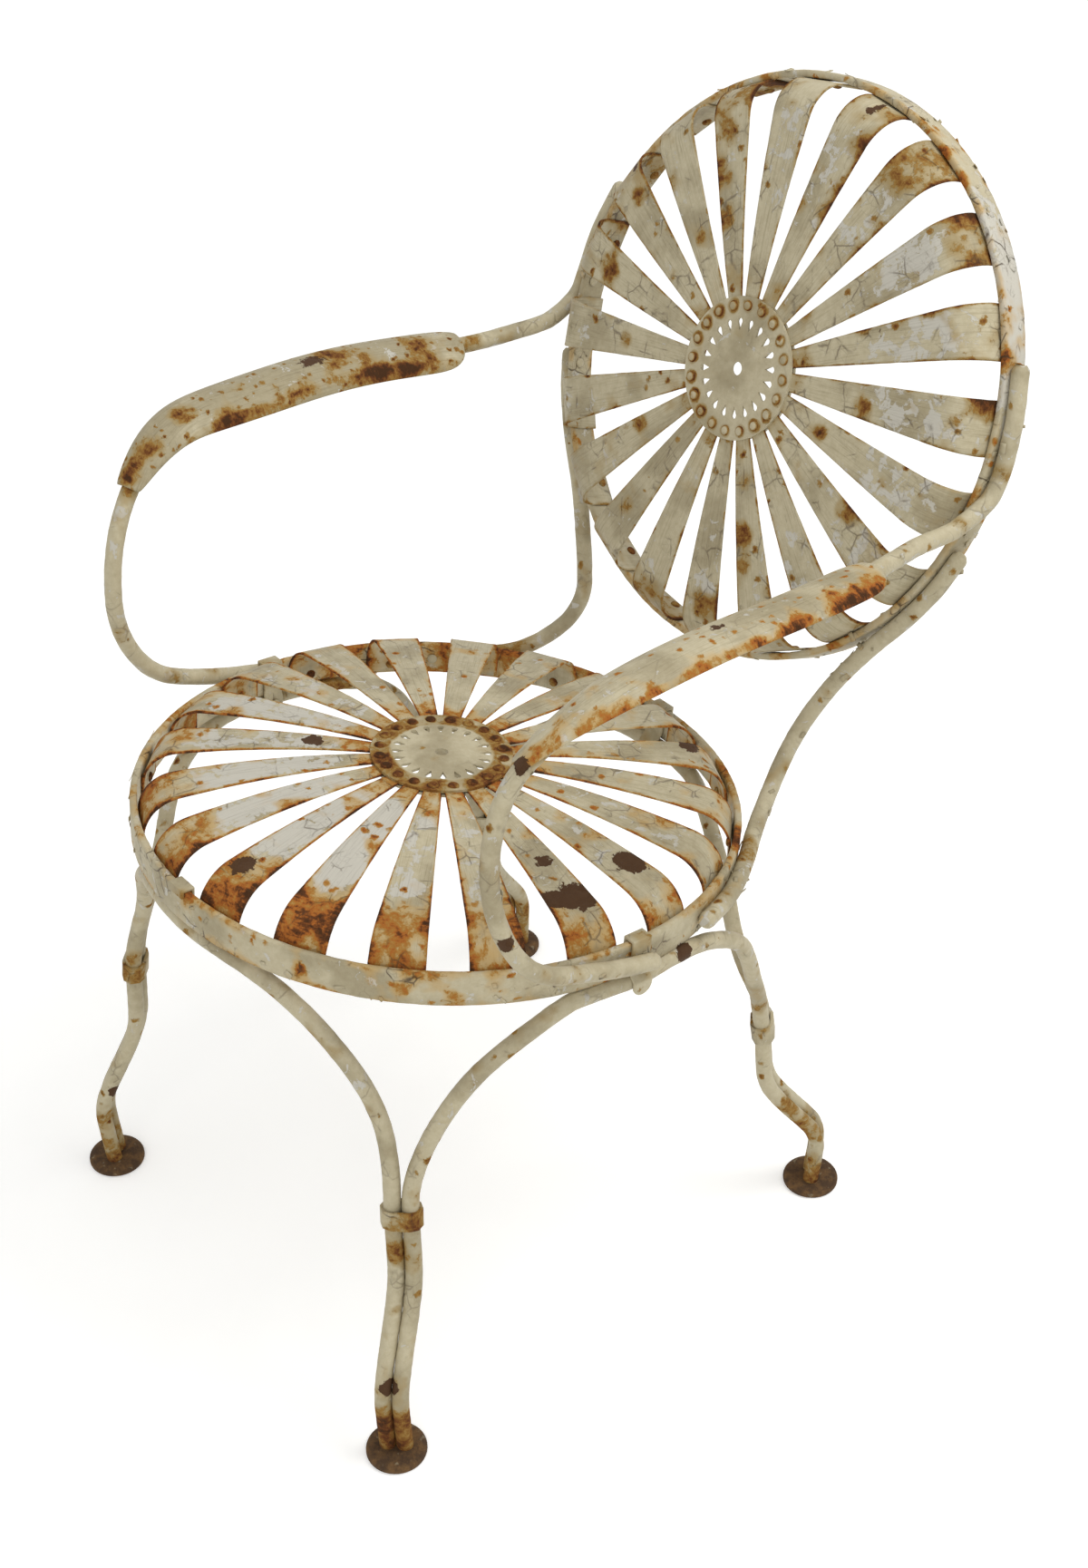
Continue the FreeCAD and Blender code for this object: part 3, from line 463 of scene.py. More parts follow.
def fallen_plates(tree, warped, fine):
    """Where ragged plates of paint, 6 mm across, fell off the steel."""
    bare_here = add(tree, "ShaderNodeAttribute", attribute_name="bare").outputs["Fac"]
    plates = add(tree, "ShaderNodeTexVoronoi", {"Vector": warped, "Scale": 1000 / 6})
    plate = add(tree, "ShaderNodeSeparateColor", {0: plates.outputs["Color"]})
    plate = add(tree, "ShaderNodeMath", {0: plate, 1: 0.25, 2: fine}, operation="MULTIPLY_ADD")
    fallen = add(tree, "ShaderNodeMath", {0: bare_here, 1: 0.8, 2: plate}, operation="MULTIPLY_ADD")
    return add(tree, "ShaderNodeMapRange", {"Value": fallen, "From Min": 1.03, "From Max": 1.06})


def rusted_pad():
    """Forged steel pads, never dry: dark brown scale of 9 mm, loose rust dust and specks of old paint."""
    colours = bpy.context.scene.armchair_paint
    material, tree = new_material("rusted forged steel")
    place = add(tree, "ShaderNodeTexCoord").outputs["Object"]
    scale = add(tree, "ShaderNodeTexNoise",
                {"Vector": place, "Scale": 1000 / 9, "Detail": 9.0, "Roughness": 0.7})
    tone = add(tree, "ShaderNodeMapRange", {"Value": scale, "From Min": 0.4, "From Max": 0.68},
               interpolation_type="SMOOTHSTEP")
    colour = add(tree, "ShaderNodeMix",
                 {0: tone, 6: make_linear(colours.foot), 7: make_linear(colours.dust)}, data_type="RGBA")
    specks = add(tree, "ShaderNodeTexNoise", {"Vector": place, "Scale": 1000 / 5, "Detail": 6.0})
    speck = add(tree, "ShaderNodeMapRange",
                {"Value": specks, "From Min": 0.64, "From Max": 0.7, "To Max": 0.35})
    colour = add(tree, "ShaderNodeMix", {0: speck, 6: colour, 7: make_linear(colours.shade)},
                 data_type="RGBA")
    bump = add(tree, "ShaderNodeBump", {"Height": scale, "Strength": 0.8, "Distance": 1.2 * MM})
    shader = add(tree, "ShaderNodeBsdfPrincipled",
                 {"Base Color": colour, "Roughness": 0.85, "Normal": bump, "Specular IOR Level": 0.3})
    add(tree, "ShaderNodeOutputMaterial", {"Surface": shader})
    return material


# Mesh help


def store(mesh, name, values):
    """Keeps a number or a vector for each point of a mesh for its material to read."""
    values = np.asarray(values, np.float32)
    kind, key = ("FLOAT", "value") if values.ndim == 1 else ("FLOAT_VECTOR", "vector")
    layer = mesh.attributes.get(name) or mesh.attributes.new(name, kind, "POINT")
    layer.data.foreach_set(key, values.ravel())


def stored(mesh, name):
    """What store kept for each point of a mesh."""
    layer = mesh.attributes[name]
    key, width = ("value", 1) if layer.data_type == "FLOAT" else ("vector", 3)
    flat = np.zeros(len(mesh.vertices) * width, np.float32)
    layer.data.foreach_get(key, flat)
    return flat if width == 1 else flat.reshape(-1, width)


def points_of(mesh):
    """The points of a mesh as an array."""
    flat = np.zeros(len(mesh.vertices) * 3)
    mesh.vertices.foreach_get("co", flat)
    return flat.reshape(-1, 3)


def level_points(mesh, place):
    """The points of a mesh, measured in the place of its fan, whose rim is at height zero."""
    inverse = np.array(place.inverted())
    return points_of(mesh) @ inverse[:3, :3].T + inverse[:3, 3]


def smooth_between(low, high, values):
    """Zero below low, one above high and an easy curve between."""
    share = np.clip((values - low) / (high - low), 0, 1)
    return share * share * (3 - 2 * share)


def new_object(name, data):
    """A new object in the scene."""
    made = bpy.data.objects.new(name, data)
    bpy.context.scene.collection.objects.link(made)
    return made


def mesh_from(name, points, faces, edges=()):
    """A mesh from points and faces or edges."""
    mesh = bpy.data.meshes.new(name)
    mesh.from_pydata([tuple(point) for point in points], list(edges), list(faces))
    mesh.update()
    return mesh


def line_mesh(name, points, closed=True):
    """A mesh of edges through points: an outline, or a path with two ends."""
    count = len(points)
    edges = [(index, (index + 1) % count) for index in range(count if closed else count - 1)]
    return mesh_from(name, points, (), edges)


def ring_faces(rows, size):
    """The faces between rows of points, where each row is a ring."""
    faces = []
    for start in range(0, (rows - 1) * size, size):
        for index in range(size):
            here, after = start + index, start + (index + 1) % size
            faces.append((here, after, after + size, here + size))
    return faces


def joined(parts):
    """The points and faces of several shells as one."""
    points, faces = [], []
    for more, more_faces in parts:
        faces += [tuple(index + len(points) for index in face) for face in more_faces]
        points += more
    return points, faces


def facing_outwards(mesh):
    """Turns every face of a closed mesh outwards."""
    work = bmesh.new()
    work.from_mesh(mesh)
    bmesh.ops.recalc_face_normals(work, faces=work.faces)
    work.to_mesh(mesh)
    work.free()


def merged_copy(node):
    """A copy of a node's mesh with its loose triangles joined, to work on."""
    work = bmesh.new()
    work.from_mesh(NODES[node].data)
    bmesh.ops.remove_doubles(work, verts=work.verts, dist=0.02 * MM)
    return work


def mesh_of(work, name):
    """The mesh of a worked copy, which ends the work."""
    mesh = bpy.data.meshes.new(name)
    work.to_mesh(mesh)
    work.free()
    return mesh


def islands(work):
    """The points of each separate solid in a worked copy."""
    left = set(work.verts)
    while left:
        island, fresh = set(), {left.pop()}
        while fresh:
            island |= fresh
            left -= fresh
            fresh = {edge.other_vert(vert) for vert in fresh for edge in vert.link_edges} & left
        yield np.array([vert.co[:] for vert in island])


def taken_off(carrier):
    """The plain mesh that an object's modifiers make. The object itself goes."""
    graph = bpy.context.evaluated_depsgraph_get()
    mesh = bpy.data.meshes.new_from_object(carrier.evaluated_get(graph), depsgraph=graph)
    carrier.modifiers.clear()
    bpy.data.objects.remove(carrier)
    return mesh


def grow(name, mesh, tree, values):
    """The plain mesh that a node tree makes of a base mesh."""
    carrier = new_object(name + "_base", mesh)
    modifier = carrier.modifiers.new("rule", "NODES")
    modifier.node_group = tree
    for item in tree.interface.items_tree:
        if item.item_type == "SOCKET" and item.in_out == "INPUT" and item.name in values:
            modifier[item.identifier] = values[item.name]
    grown = taken_off(carrier)
    grown.name = name
    if not len(grown.polygons):
        raise RuntimeError("nothing was made for " + name)
    return grown


def add_piece(name, mesh, nodes):
    """A finished piece of the chair in the place of its worked nodes."""
    made = new_object(name, mesh)
    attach(made, BODY)
    if nodes:
        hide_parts(*nodes)
    return made


# Geometry trees


def new_tree(name, sockets):
    """A geometry node tree with the named inputs and those that its end needs."""
    tree = bpy.data.node_groups.new(name, "GeometryNodeTree")
    tree.interface.new_socket("Geometry", in_out="INPUT", socket_type="NodeSocketGeometry")
    for label, kind in {**sockets, "Lumps": "Float", "Seed": "Int", "Material": "Material"}.items():
        tree.interface.new_socket(label, in_out="INPUT", socket_type="NodeSocket" + kind)
    tree.interface.new_socket("Geometry", in_out="OUTPUT", socket_type="NodeSocketGeometry")
    return tree, add(tree, "NodeGroupInput").outputs


def finished_tree(tree, geometry, given):
    """Ends a tree with real geometry, lumps of old paint 7 mm across and a material."""
    solid = add(tree, "GeometryNodeRealizeInstances", {"Geometry": geometry})
    noise = add(tree, "ShaderNodeTexNoise", {"W": given["Seed"], "Scale": 1000 / 7, "Detail": 3.0},
                noise_dimensions="4D")
    amount = add(tree, "ShaderNodeMath", {0: noise, 1: 0.5}, operation="SUBTRACT")
    amount = add(tree, "ShaderNodeMath", {0: amount, 1: given["Lumps"]}, operation="MULTIPLY")
    push = add(tree, "ShaderNodeVectorMath", {0: add(tree, "GeometryNodeInputNormal"), "Scale": amount},
               operation="SCALE")
    moved = add(tree, "GeometryNodeSetPosition", {"Geometry": solid, "Offset": push})
    smooth = add(tree, "GeometryNodeSetShadeSmooth", {"Geometry": moved})
    painted = add(tree, "GeometryNodeSetMaterial", {"Geometry": smooth, "Material": given["Material"]})
    add(tree, "NodeGroupOutput", {"Geometry": painted})
    return tree


def closed_plate(tree, face, thickness):
    """A closed plate that rises along Z from a flat or curled face."""
    rise = add(tree, "ShaderNodeCombineXYZ", {"Z": 1.0})
    plate = add(tree, "GeometryNodeExtrudeMesh",
                {"Mesh": face, "Offset": rise, "Offset Scale": thickness, "Individual": False})
    back = add(tree, "GeometryNodeFlipFaces", {"Mesh": face})
    both = add(tree, "GeometryNodeJoinGeometry")
    for piece in (plate, back):
        tree.links.new(piece.outputs[0], both.inputs[0])
    return add(tree, "GeometryNodeMergeByDistance", {"Geometry": both, "Distance": 0.01 * MM})


def even_turns(tree, count, first=0.0):
    """Points for copies, and the turn of each round the Z axis in even steps."""
    spots = add(tree, "GeometryNodePoints", {"Count": count})
    step = add(tree, "ShaderNodeMath", {0: math.tau, 1: count}, operation="DIVIDE")
    index = add(tree, "GeometryNodeInputIndex")
    return spots, add(tree, "ShaderNodeMath", {0: index, 1: step, 2: first}, operation="MULTIPLY_ADD")


def ring_of_copies_tree():
    """Copies of a base mesh turned in even steps round the Z axis, each with a little roll of its own."""
    tree, given = new_tree("ring of copies", {"Count": "Int", "First Turn": "Float", "Roll": "Float"})
    spots, turn = even_turns(tree, given["Count"], given["First Turn"])
    least = add(tree, "ShaderNodeMath", {0: given["Roll"], 1: -1.0}, operation="MULTIPLY")
    roll = add(tree, "FunctionNodeRandomValue", {"Min": least, "Max": given["Roll"], "Seed": given["Seed"]})
    angles = add(tree, "ShaderNodeCombineXYZ", {"X": roll, "Z": turn})
    copies = add(tree, "GeometryNodeInstanceOnPoints",
                 {"Points": spots, "Instance": given["Geometry"], "Rotation": angles})
    return finished_tree(tree, copies, given)


def bar_tree():
    """A round bar along a path of edges."""
    tree, given = new_tree("bar along a path", {"Radius": "Float"})
    path = add(tree, "GeometryNodeMeshToCurve", {"Mesh": given["Geometry"]})
    section = add(tree, "GeometryNodeCurvePrimitiveCircle", {"Resolution": 20, "Radius": given["Radius"]})
    bar = add(tree, "GeometryNodeCurveToMesh", {"Curve": path, "Profile Curve": section, "Fill Caps": True})
    return finished_tree(tree, bar, given)


def hoop_tree():
    """A hoop with the base mesh's outline as its section."""
    tree, given = new_tree("hoop of flat bar", {"Radius": "Float"})
    section = add(tree, "GeometryNodeMeshToCurve", {"Mesh": given["Geometry"]})
    circle = add(tree, "GeometryNodeCurvePrimitiveCircle", {"Resolution": 420, "Radius": given["Radius"]})
    hoop = add(tree, "GeometryNodeCurveToMesh", {"Curve": circle, "Profile Curve": section})
    return finished_tree(tree, hoop, given)


def pierced_disc_tree():
    """A disc with a middle hole and the base mesh's outline cut through it in a ring."""
    tree, given = new_tree("pierced disc", {"Count": "Int", "Radius": "Float", "Hole": "Float",
                                            "Sheet": "Float"})
    outline = add(tree, "GeometryNodeMeshToCurve", {"Mesh": given["Geometry"]})
    spots, turn = even_turns(tree, given["Count"])
    angles = add(tree, "ShaderNodeCombineXYZ", {"Z": turn})
    drops = add(tree, "GeometryNodeInstanceOnPoints",
                {"Points": spots, "Instance": outline, "Rotation": angles})
    drops = add(tree, "GeometryNodeRealizeInstances", {"Geometry": drops})
    rim = add(tree, "GeometryNodeCurvePrimitiveCircle", {"Resolution": 120, "Radius": given["Radius"]})
    hole = add(tree, "GeometryNodeCurvePrimitiveCircle", {"Resolution": 20, "Radius": given["Hole"]})
    curves = add(tree, "GeometryNodeJoinGeometry")
    for piece in (drops, hole, rim):
        tree.links.new(piece.outputs[0], curves.inputs[0])
    face = add(tree, "GeometryNodeFillCurve", {"Curve": curves})
    return finished_tree(tree, closed_plate(tree, face, given["Sheet"]), given)


def flake_tree():
    """Curled chips of paint that stand out from a surface, each of its own size and turned its own way."""
    tree, given = new_tree("curled paint chips", {"Density": "Float", "Size": "Float", "Sheet": "Float"})
    spots = add(tree, "GeometryNodeDistributePointsOnFaces",
                {"Mesh": given["Geometry"], "Density": given["Density"], "Seed": given["Seed"]}).outputs
    chip = add(tree, "GeometryNodeMeshGrid",
               {"Size X": given["Size"], "Size Y": given["Size"], "Vertices X": 4, "Vertices Y": 3})

    # One end of a chip stands up by 0.22 of its length, and the other is sunk by 0.25 mm
    parts = add(tree, "ShaderNodeSeparateXYZ", {0: add(tree, "GeometryNodeInputPosition")}).outputs
    along = add(tree, "ShaderNodeMath", {0: parts["X"], 1: given["Size"]}, operation="DIVIDE")
    along = add(tree, "ShaderNodeMath", {0: along, 1: 0.5}, operation="ADD")
    curl = add(tree, "ShaderNodeMath", {0: along, 1: 2.0}, operation="POWER")
    curl = add(tree, "ShaderNodeMath", {0: curl, 1: given["Size"]}, operation="MULTIPLY")
    curl = add(tree, "ShaderNodeMath", {0: curl, 1: 0.22, 2: -0.25 * MM}, operation="MULTIPLY_ADD")
    lift = add(tree, "ShaderNodeCombineXYZ", {"Z": curl})
    chip = add(tree, "GeometryNodeSetPosition", {"Geometry": chip.outputs["Mesh"], "Offset": lift})
    chip = closed_plate(tree, chip, given["Sheet"])

    small = add(tree, "FunctionNodeRandomValue",
                {"Min": (0.4, 0.3, 0.4), "Max": (1.5, 1.0, 1.3), "Seed": given["Seed"]},
                data_type="FLOAT_VECTOR")
    spin = add(tree, "FunctionNodeRandomValue", {"Min": 0.0, "Max": math.tau, "Seed": SEEDS["chip turns"]})
    spin = add(tree, "ShaderNodeCombineXYZ", {"Z": spin})
    facing = add(tree, "FunctionNodeRotateRotation", {0: spots["Rotation"], 1: spin},
                 rotation_space="LOCAL")
    chips = add(tree, "GeometryNodeInstanceOnPoints",
                {"Points": spots["Points"], "Instance": chip, "Rotation": facing, "Scale": small})
    return finished_tree(tree, chips, given)


# Forms worked out from the sizes and from the frame

# Steps along a slat's slow bow, and along its tight bend into the hoop
BOW_STEPS, BEND_STEPS = 34, 14
# Where across a slat its points lie, as shares of half its width
SLAT_SHARES = (-1, -0.85, -0.6, -0.3, 0, 0.3, 0.6, 0.85, 1)
# Steps along each side of the hoop's flat bar, and round a teardrop's end
HOOP_STEPS, DROP_STEPS = 5, 12
# The rings of points on a rivet head, as shares of its radius and of its rise
DOME_RINGS = ((1.0, -0.3), (1.0, 0.15), (0.9, 0.5), (0.62, 0.85), (0.3, 0.98))
DOME_SIDES = 14
# The most that a corner of a bar's end lies from its middle
END_REACH = 8 * MM


def bowl_of(name):
    """The settings of the seat or the back, the place of its rim and its hoop's outer radius."""
    bowl = getattr(bpy.context.scene, "armchair_" + name)
    low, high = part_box(name + "_hoop")
    turn = Matrix.Rotation(bowl.turn, 4, "X")
    middle = (low + high) / 2 + turn @ Vector((0, 0, bowl.depth / 2))
    return bowl, Matrix.Translation(middle) @ turn, (high.x - low.x) / 2


def rim_reach(radius, slats):
    """How far out a slat's face lies in a hoop of this inner radius, so that its edges clear the hoop."""
    return math.sqrt((radius - slats.gap) ** 2 - (slats.rim_width / 2) ** 2)


def slat_side_view(radius, bowl, slats, hub):
    """Points and normals along a slat's upper face, from the hub to the end of its tail."""
    face = rim_reach(radius, slats)
    flat_end = hub.radius + slats.strip
    bend_start = face - slats.bend_reach
    slope = math.asin((bend_start - flat_end) / bowl.bow_radius)
    bend_radius = (face - bend_start) / (1 - math.sin(slope))
    centre = Vector((flat_end, bowl.crown - bowl.bow_radius))
    bend_centre = centre + Vector((math.sin(slope), math.cos(slope))) * (bowl.bow_radius - bend_radius)
    side = []
    for share in (0, 0.35, 0.7):
        reach = slats.inner_radius + share * (flat_end - slats.inner_radius)
        side.append((Vector((reach, bowl.crown)), Vector((0, 1))))
    bow = (centre, bowl.bow_radius, 0, slope, BOW_STEPS)
    bend = (bend_centre, bend_radius, slope, math.pi / 2, BEND_STEPS)
    for origin, size, start, end, steps in (bow, bend):
        for step in range(steps):
            turn = start + (end - start) * step / steps
            normal = Vector((math.sin(turn), math.cos(turn)))
            side.append((origin + normal * size, normal))
    for share in (0, 0.5, 1):
        height = bend_centre.y - share * (slats.tail + bend_centre.y)
        side.append((Vector((face, height)), Vector((1, 0))))
    return side


def slat_blank(radius, bowl, slats, hub):
    """One slat along +X with eased edges.

    Each point keeps how near it is to an edge, and how far it lies along, across and into the strip.
    """
    growth = (slats.rim_width - slats.hub_width) / (radius - hub.radius)
    side = slat_side_view(radius, bowl, slats, hub)
    size = 2 * len(SLAT_SHARES) + 2
    points, edge, lie = [], [], []
    along, last = 0.0, side[0][0]
    for place, normal in side:
        along += (place - last).length
        last = place
        half = (slats.hub_width + growth * (place.x - hub.radius)) / 2
        face = [half * share for share in SLAT_SHARES]
        face[0] += slats.ease
        face[-1] -= slats.ease
        ring = [(across, 0.0) for across in face] + [(half, -slats.strip / 2)]
        ring += [(across, -slats.strip) for across in reversed(face)] + [(-half, -slats.strip / 2)]
        for across, inset in ring:
            points.append((place.x + normal.x * inset, across, place.y + normal.y * inset))
            edge.append(abs(across) / half)
            lie.append((along, across, inset))
    ends = [tuple(range(size))[::-1], tuple(range(len(points) - size, len(points)))]
    mesh = mesh_from("slat_blank", points, ring_faces(len(side), size) + ends)
    store(mesh, "edge", edge)
    store(mesh, "lie", lie)
    return mesh


def hoop_section(bowl):
    """The outline of a flat bar with eased corners, with points along its two sides."""
    half, inner = bowl.wall / 2, bowl.wall / 2 - bowl.ease
    run = bowl.depth - 2 * bowl.ease
    outside = [(half, bowl.ease + run * step / HOOP_STEPS, 0) for step in range(HOOP_STEPS + 1)]
    outside = [(inner, 0, 0)] + outside + [(inner, bowl.depth, 0)]
    return outside + [(-across, height, 0) for across, height, _ in reversed(outside)]


def teardrop(hub):
    """The outline of one teardrop hole, with its tip towards the middle of the hub."""
    half = hub.drop_width / 2
    middle = hub.drop_outer - half
    lean = math.asin(half / (middle - hub.drop_inner))
    points = [(hub.drop_inner, 0, 0)]
    for step in range(DROP_STEPS + 1):
        turn = -(math.pi / 2 + lean) + (math.pi + 2 * lean) * step / DROP_STEPS
        points.append((middle + half * math.cos(turn), half * math.sin(turn), 0))
    return points


def dome(radius, rise, place, axis):
    """A rivet head: a low dome, round edged, standing on place."""
    turn = Vector((0, 0, 1)).rotation_difference(Vector(axis)).to_matrix()
    points = []
    for share, height in DOME_RINGS:
        for side in range(DOME_SIDES):
            angle, reach = math.tau * side / DOME_SIDES, share * radius
            points.append(Vector((math.cos(angle) * reach, math.sin(angle) * reach, height * rise)))
    points.append(Vector((0, 0, rise)))
    top = len(points) - 1 - DOME_SIDES
    faces = [tuple(range(DOME_SIDES))[::-1]] + ring_faces(len(DOME_RINGS), DOME_SIDES)
    faces += [(top + side, top + (side + 1) % DOME_SIDES, len(points) - 1) for side in range(DOME_SIDES)]
    return [Vector(place) + turn @ point for point in points], faces


def ring_centres(node, corners):
    """The middle of each outline that a bar was skinned over, from one end to the other."""
    work = merged_copy(node)
    planes = {}
    for face in work.faces:
        offset = round(face.normal.dot(face.verts[0].co), 4)
        key = tuple(round(value, 3) for value in face.normal) + (offset,)
        planes.setdefault(key, set()).add(face)
    ends = []
    for faces in planes.values():
        verts = {vert for face in faces for vert in face.verts}
        if len(faces) == corners - 2 and len(verts) == corners:
            middle = sum((vert.co for vert in verts), Vector()) / corners
            if max((vert.co - middle).length for vert in verts) < END_REACH:
                ends.append(verts)
    if len(ends) != 2:
        raise RuntimeError("found %d ends on %s" % (len(ends), node))
    layer, seen, centres = ends[0], set(ends[0]), []
    while layer:
        centres.append(sum((vert.co for vert in layer), Vector()) / len(layer))
        layer = {edge.other_vert(vert) for vert in layer for edge in vert.link_edges} - seen
        seen |= layer
    work.free()
    return centres


def smooth_path(centres, step):
    """A smooth path through the middles of a bar's straight runs."""
    runs = [after - before for before, after in zip(centres, centres[1:])]
    ways = [runs[0].normalized()]
    for arriving, leaving in zip(runs, runs[1:]):
        bend = arriving / arriving.length_squared + leaving / leaving.length_squared
        ways.append(bend.normalized())
    ways.append(runs[-1].normalized())
    points = []
    for index, run in enumerate(runs):
        start, end, reach = centres[index], centres[index + 1], run.length
        steps = max(1, round(reach / step))
        for count in range(steps):
            share = count / steps
            square, cube = share ** 2, share ** 3
            points.append(start * (2 * cube - 3 * square + 1) + end * (3 * square - 2 * cube)
                          + ways[index] * reach * (cube - 2 * square + share)
                          + ways[index + 1] * reach * (cube - square))
    return points + [centres[-1]]


def bar_path(node):
    """The smooth middle line of a round bar's node."""
    bars = bpy.context.scene.armchair_bars
    return smooth_path(ring_centres(node, bars.corners), bars.step)


def round_ends(mesh, rings):
    """Draws in the last two rings of points at both ends of a bar, as paint rounds off a cut end."""
    points = points_of(mesh).reshape(rings, -1, 3)
    for place, share in ((0, 0.62), (1, 0.92), (-2, 0.92), (-1, 0.62)):
        middle = points[place].mean(0)
        points[place] = middle + (points[place] - middle) * share
    mesh.vertices.foreach_set("co", points.ravel())


# Wear: where rust, pale undercoat and bare steel show most

# How rusty each slat is at the rim and how much undercoat it shows, slat 1 first
RIM_RUST = {
    "seat": (0.45, 0.3, 0.35, 0.35, 0.35, 0.3, 0.25, 0.3, 0.3, 0.35,
             0.4, 0.45, 0.5, 0.6, 0.7, 0.8, 0.8, 0.75, 0.75, 0.6),
    "back": (0.1, 0.15, 0.3, 0.5, 0.35, 0.25, 0.6, 0.3, 0.35, 0.35,
             0.15, 0.15, 0.2, 0.3, 0.4, 0.45, 0.25, 0.1, 0.1, 0.1),
}
UNDERCOAT = {
    "seat": (0.25, 0.2, 0.15, 0.15, 0.1, 0.1, 0.15, 0.15, 0.15, 0.25,
             0.35, 0.6, 0.45, 0.65, 0.65, 0.7, 0.9, 0.4, 0.3, 0.25),
    "back": (0.4, 0.47, 0.55, 0.32, 0.32, 0.36, 0.15, 0.2, 0.15, 0.1,
             0.15, 0.25, 0.15, 0.15, 0.2, 0.3, 0.2, 0.3, 0.36, 0.4),
}
# How rusty a fan is along its slats' edges and round its hub, the strength of its rust spots, and the
# radii in mm between which undercoat sets in
FAN_WEAR = {"seat": (0.95, 0.6, 1, (55, 85)), "back": (0.7, 0.25, 1.15, (80, 160))}
# How rusty the crests of the rivet heads on a hub are, and how rusty the rest of the rivets is
RIVET_RUST = {"seat": (1.0, 0.9), "back": (0.3, 0.85)}
# How far the brush marks of one slat are moved on from those of the one before, in metres
SLAT_SHIFT = 0.37
# Spots on the fans: slat (with how far it lies to the side), radius and size in mm, strength
FAN_SPOTS = {
    "seat": {
        "bare": ((1.13, 168, 13, 1), (20.1, 175, 14, 1), (19.8, 173, 9, 1), (15.9, 181, 10, 1),
                 (12.95, 91, 8, 1), (4.2, 186, 9, 0.9), (20.05, 138, 8, 0.8), (5.6, 190, 8, 0.7)),
        "rust": ((18.2, 75, 9, 0.5), (1.2, 107, 8, 0.5), (20.2, 109, 8, 0.55), (2.2, 166, 7, 0.5),
                 (1.2, 134, 10, 0.5), (12.2, 160, 9, 0.5), (13, 84, 8, 0.35), (17.2, 120, 8, 0.3),
                 (9.1, 159, 8, 0.3), (8, 164, 6, 0.45), (15.3, 120, 12, 0.3), (16.2, 90, 10, 0.35),
                 (19, 80, 7, 0.45), (11, 150, 9, 0.45), (3, 130, 7, 0.4)),
    },
    "back": {
        "bare": ((5.0, 195, 6, 0.8), (8.8, 190, 7, 0.7), (2.2, 128, 6, 0.6)),
        "rust": ((7.2, 138, 11, 0.6), (7.2, 106, 10, 0.7), (7.0, 165, 9, 0.4), (5.2, 146, 8, 0.5),
                 (5.3, 120, 8, 0.4), (4.75, 172, 12, 0.5), (4.7, 150, 11, 0.5), (4.7, 128, 9, 0.4),
                 (4.0, 183, 15, 0.4), (3.8, 147, 10, 0.5), (3.7, 128, 9, 0.4), (3.3, 197, 10, 0.6),
                 (2.8, 200, 6, 0.5), (10, 155, 13, 0.6), (11, 117, 8, 0.6), (8.9, 163, 9, 0.5),
                 (9.1, 94, 6, 0.6), (8, 101, 6, 0.5), (12.8, 104, 9, 0.6), (15.1, 177, 10, 0.45),
                 (16.1, 172, 12, 0.5), (16.8, 116, 11, 0.65), (16.9, 138, 9, 0.45),
                 (19.2, 138, 10, 0.6), (19.9, 150, 6, 0.5), (1.03, 187, 6, 0.5), (1.2, 197, 9, 0.6),
                 (0.85, 114, 9, 0.5), (20, 88, 6, 0.55), (2.3, 112, 7, 0.5), (2.3, 165, 7, 0.5),
                 (14, 150, 9, 0.4), (13, 185, 9, 0.35), (17, 80, 7, 0.45)),
    },
}
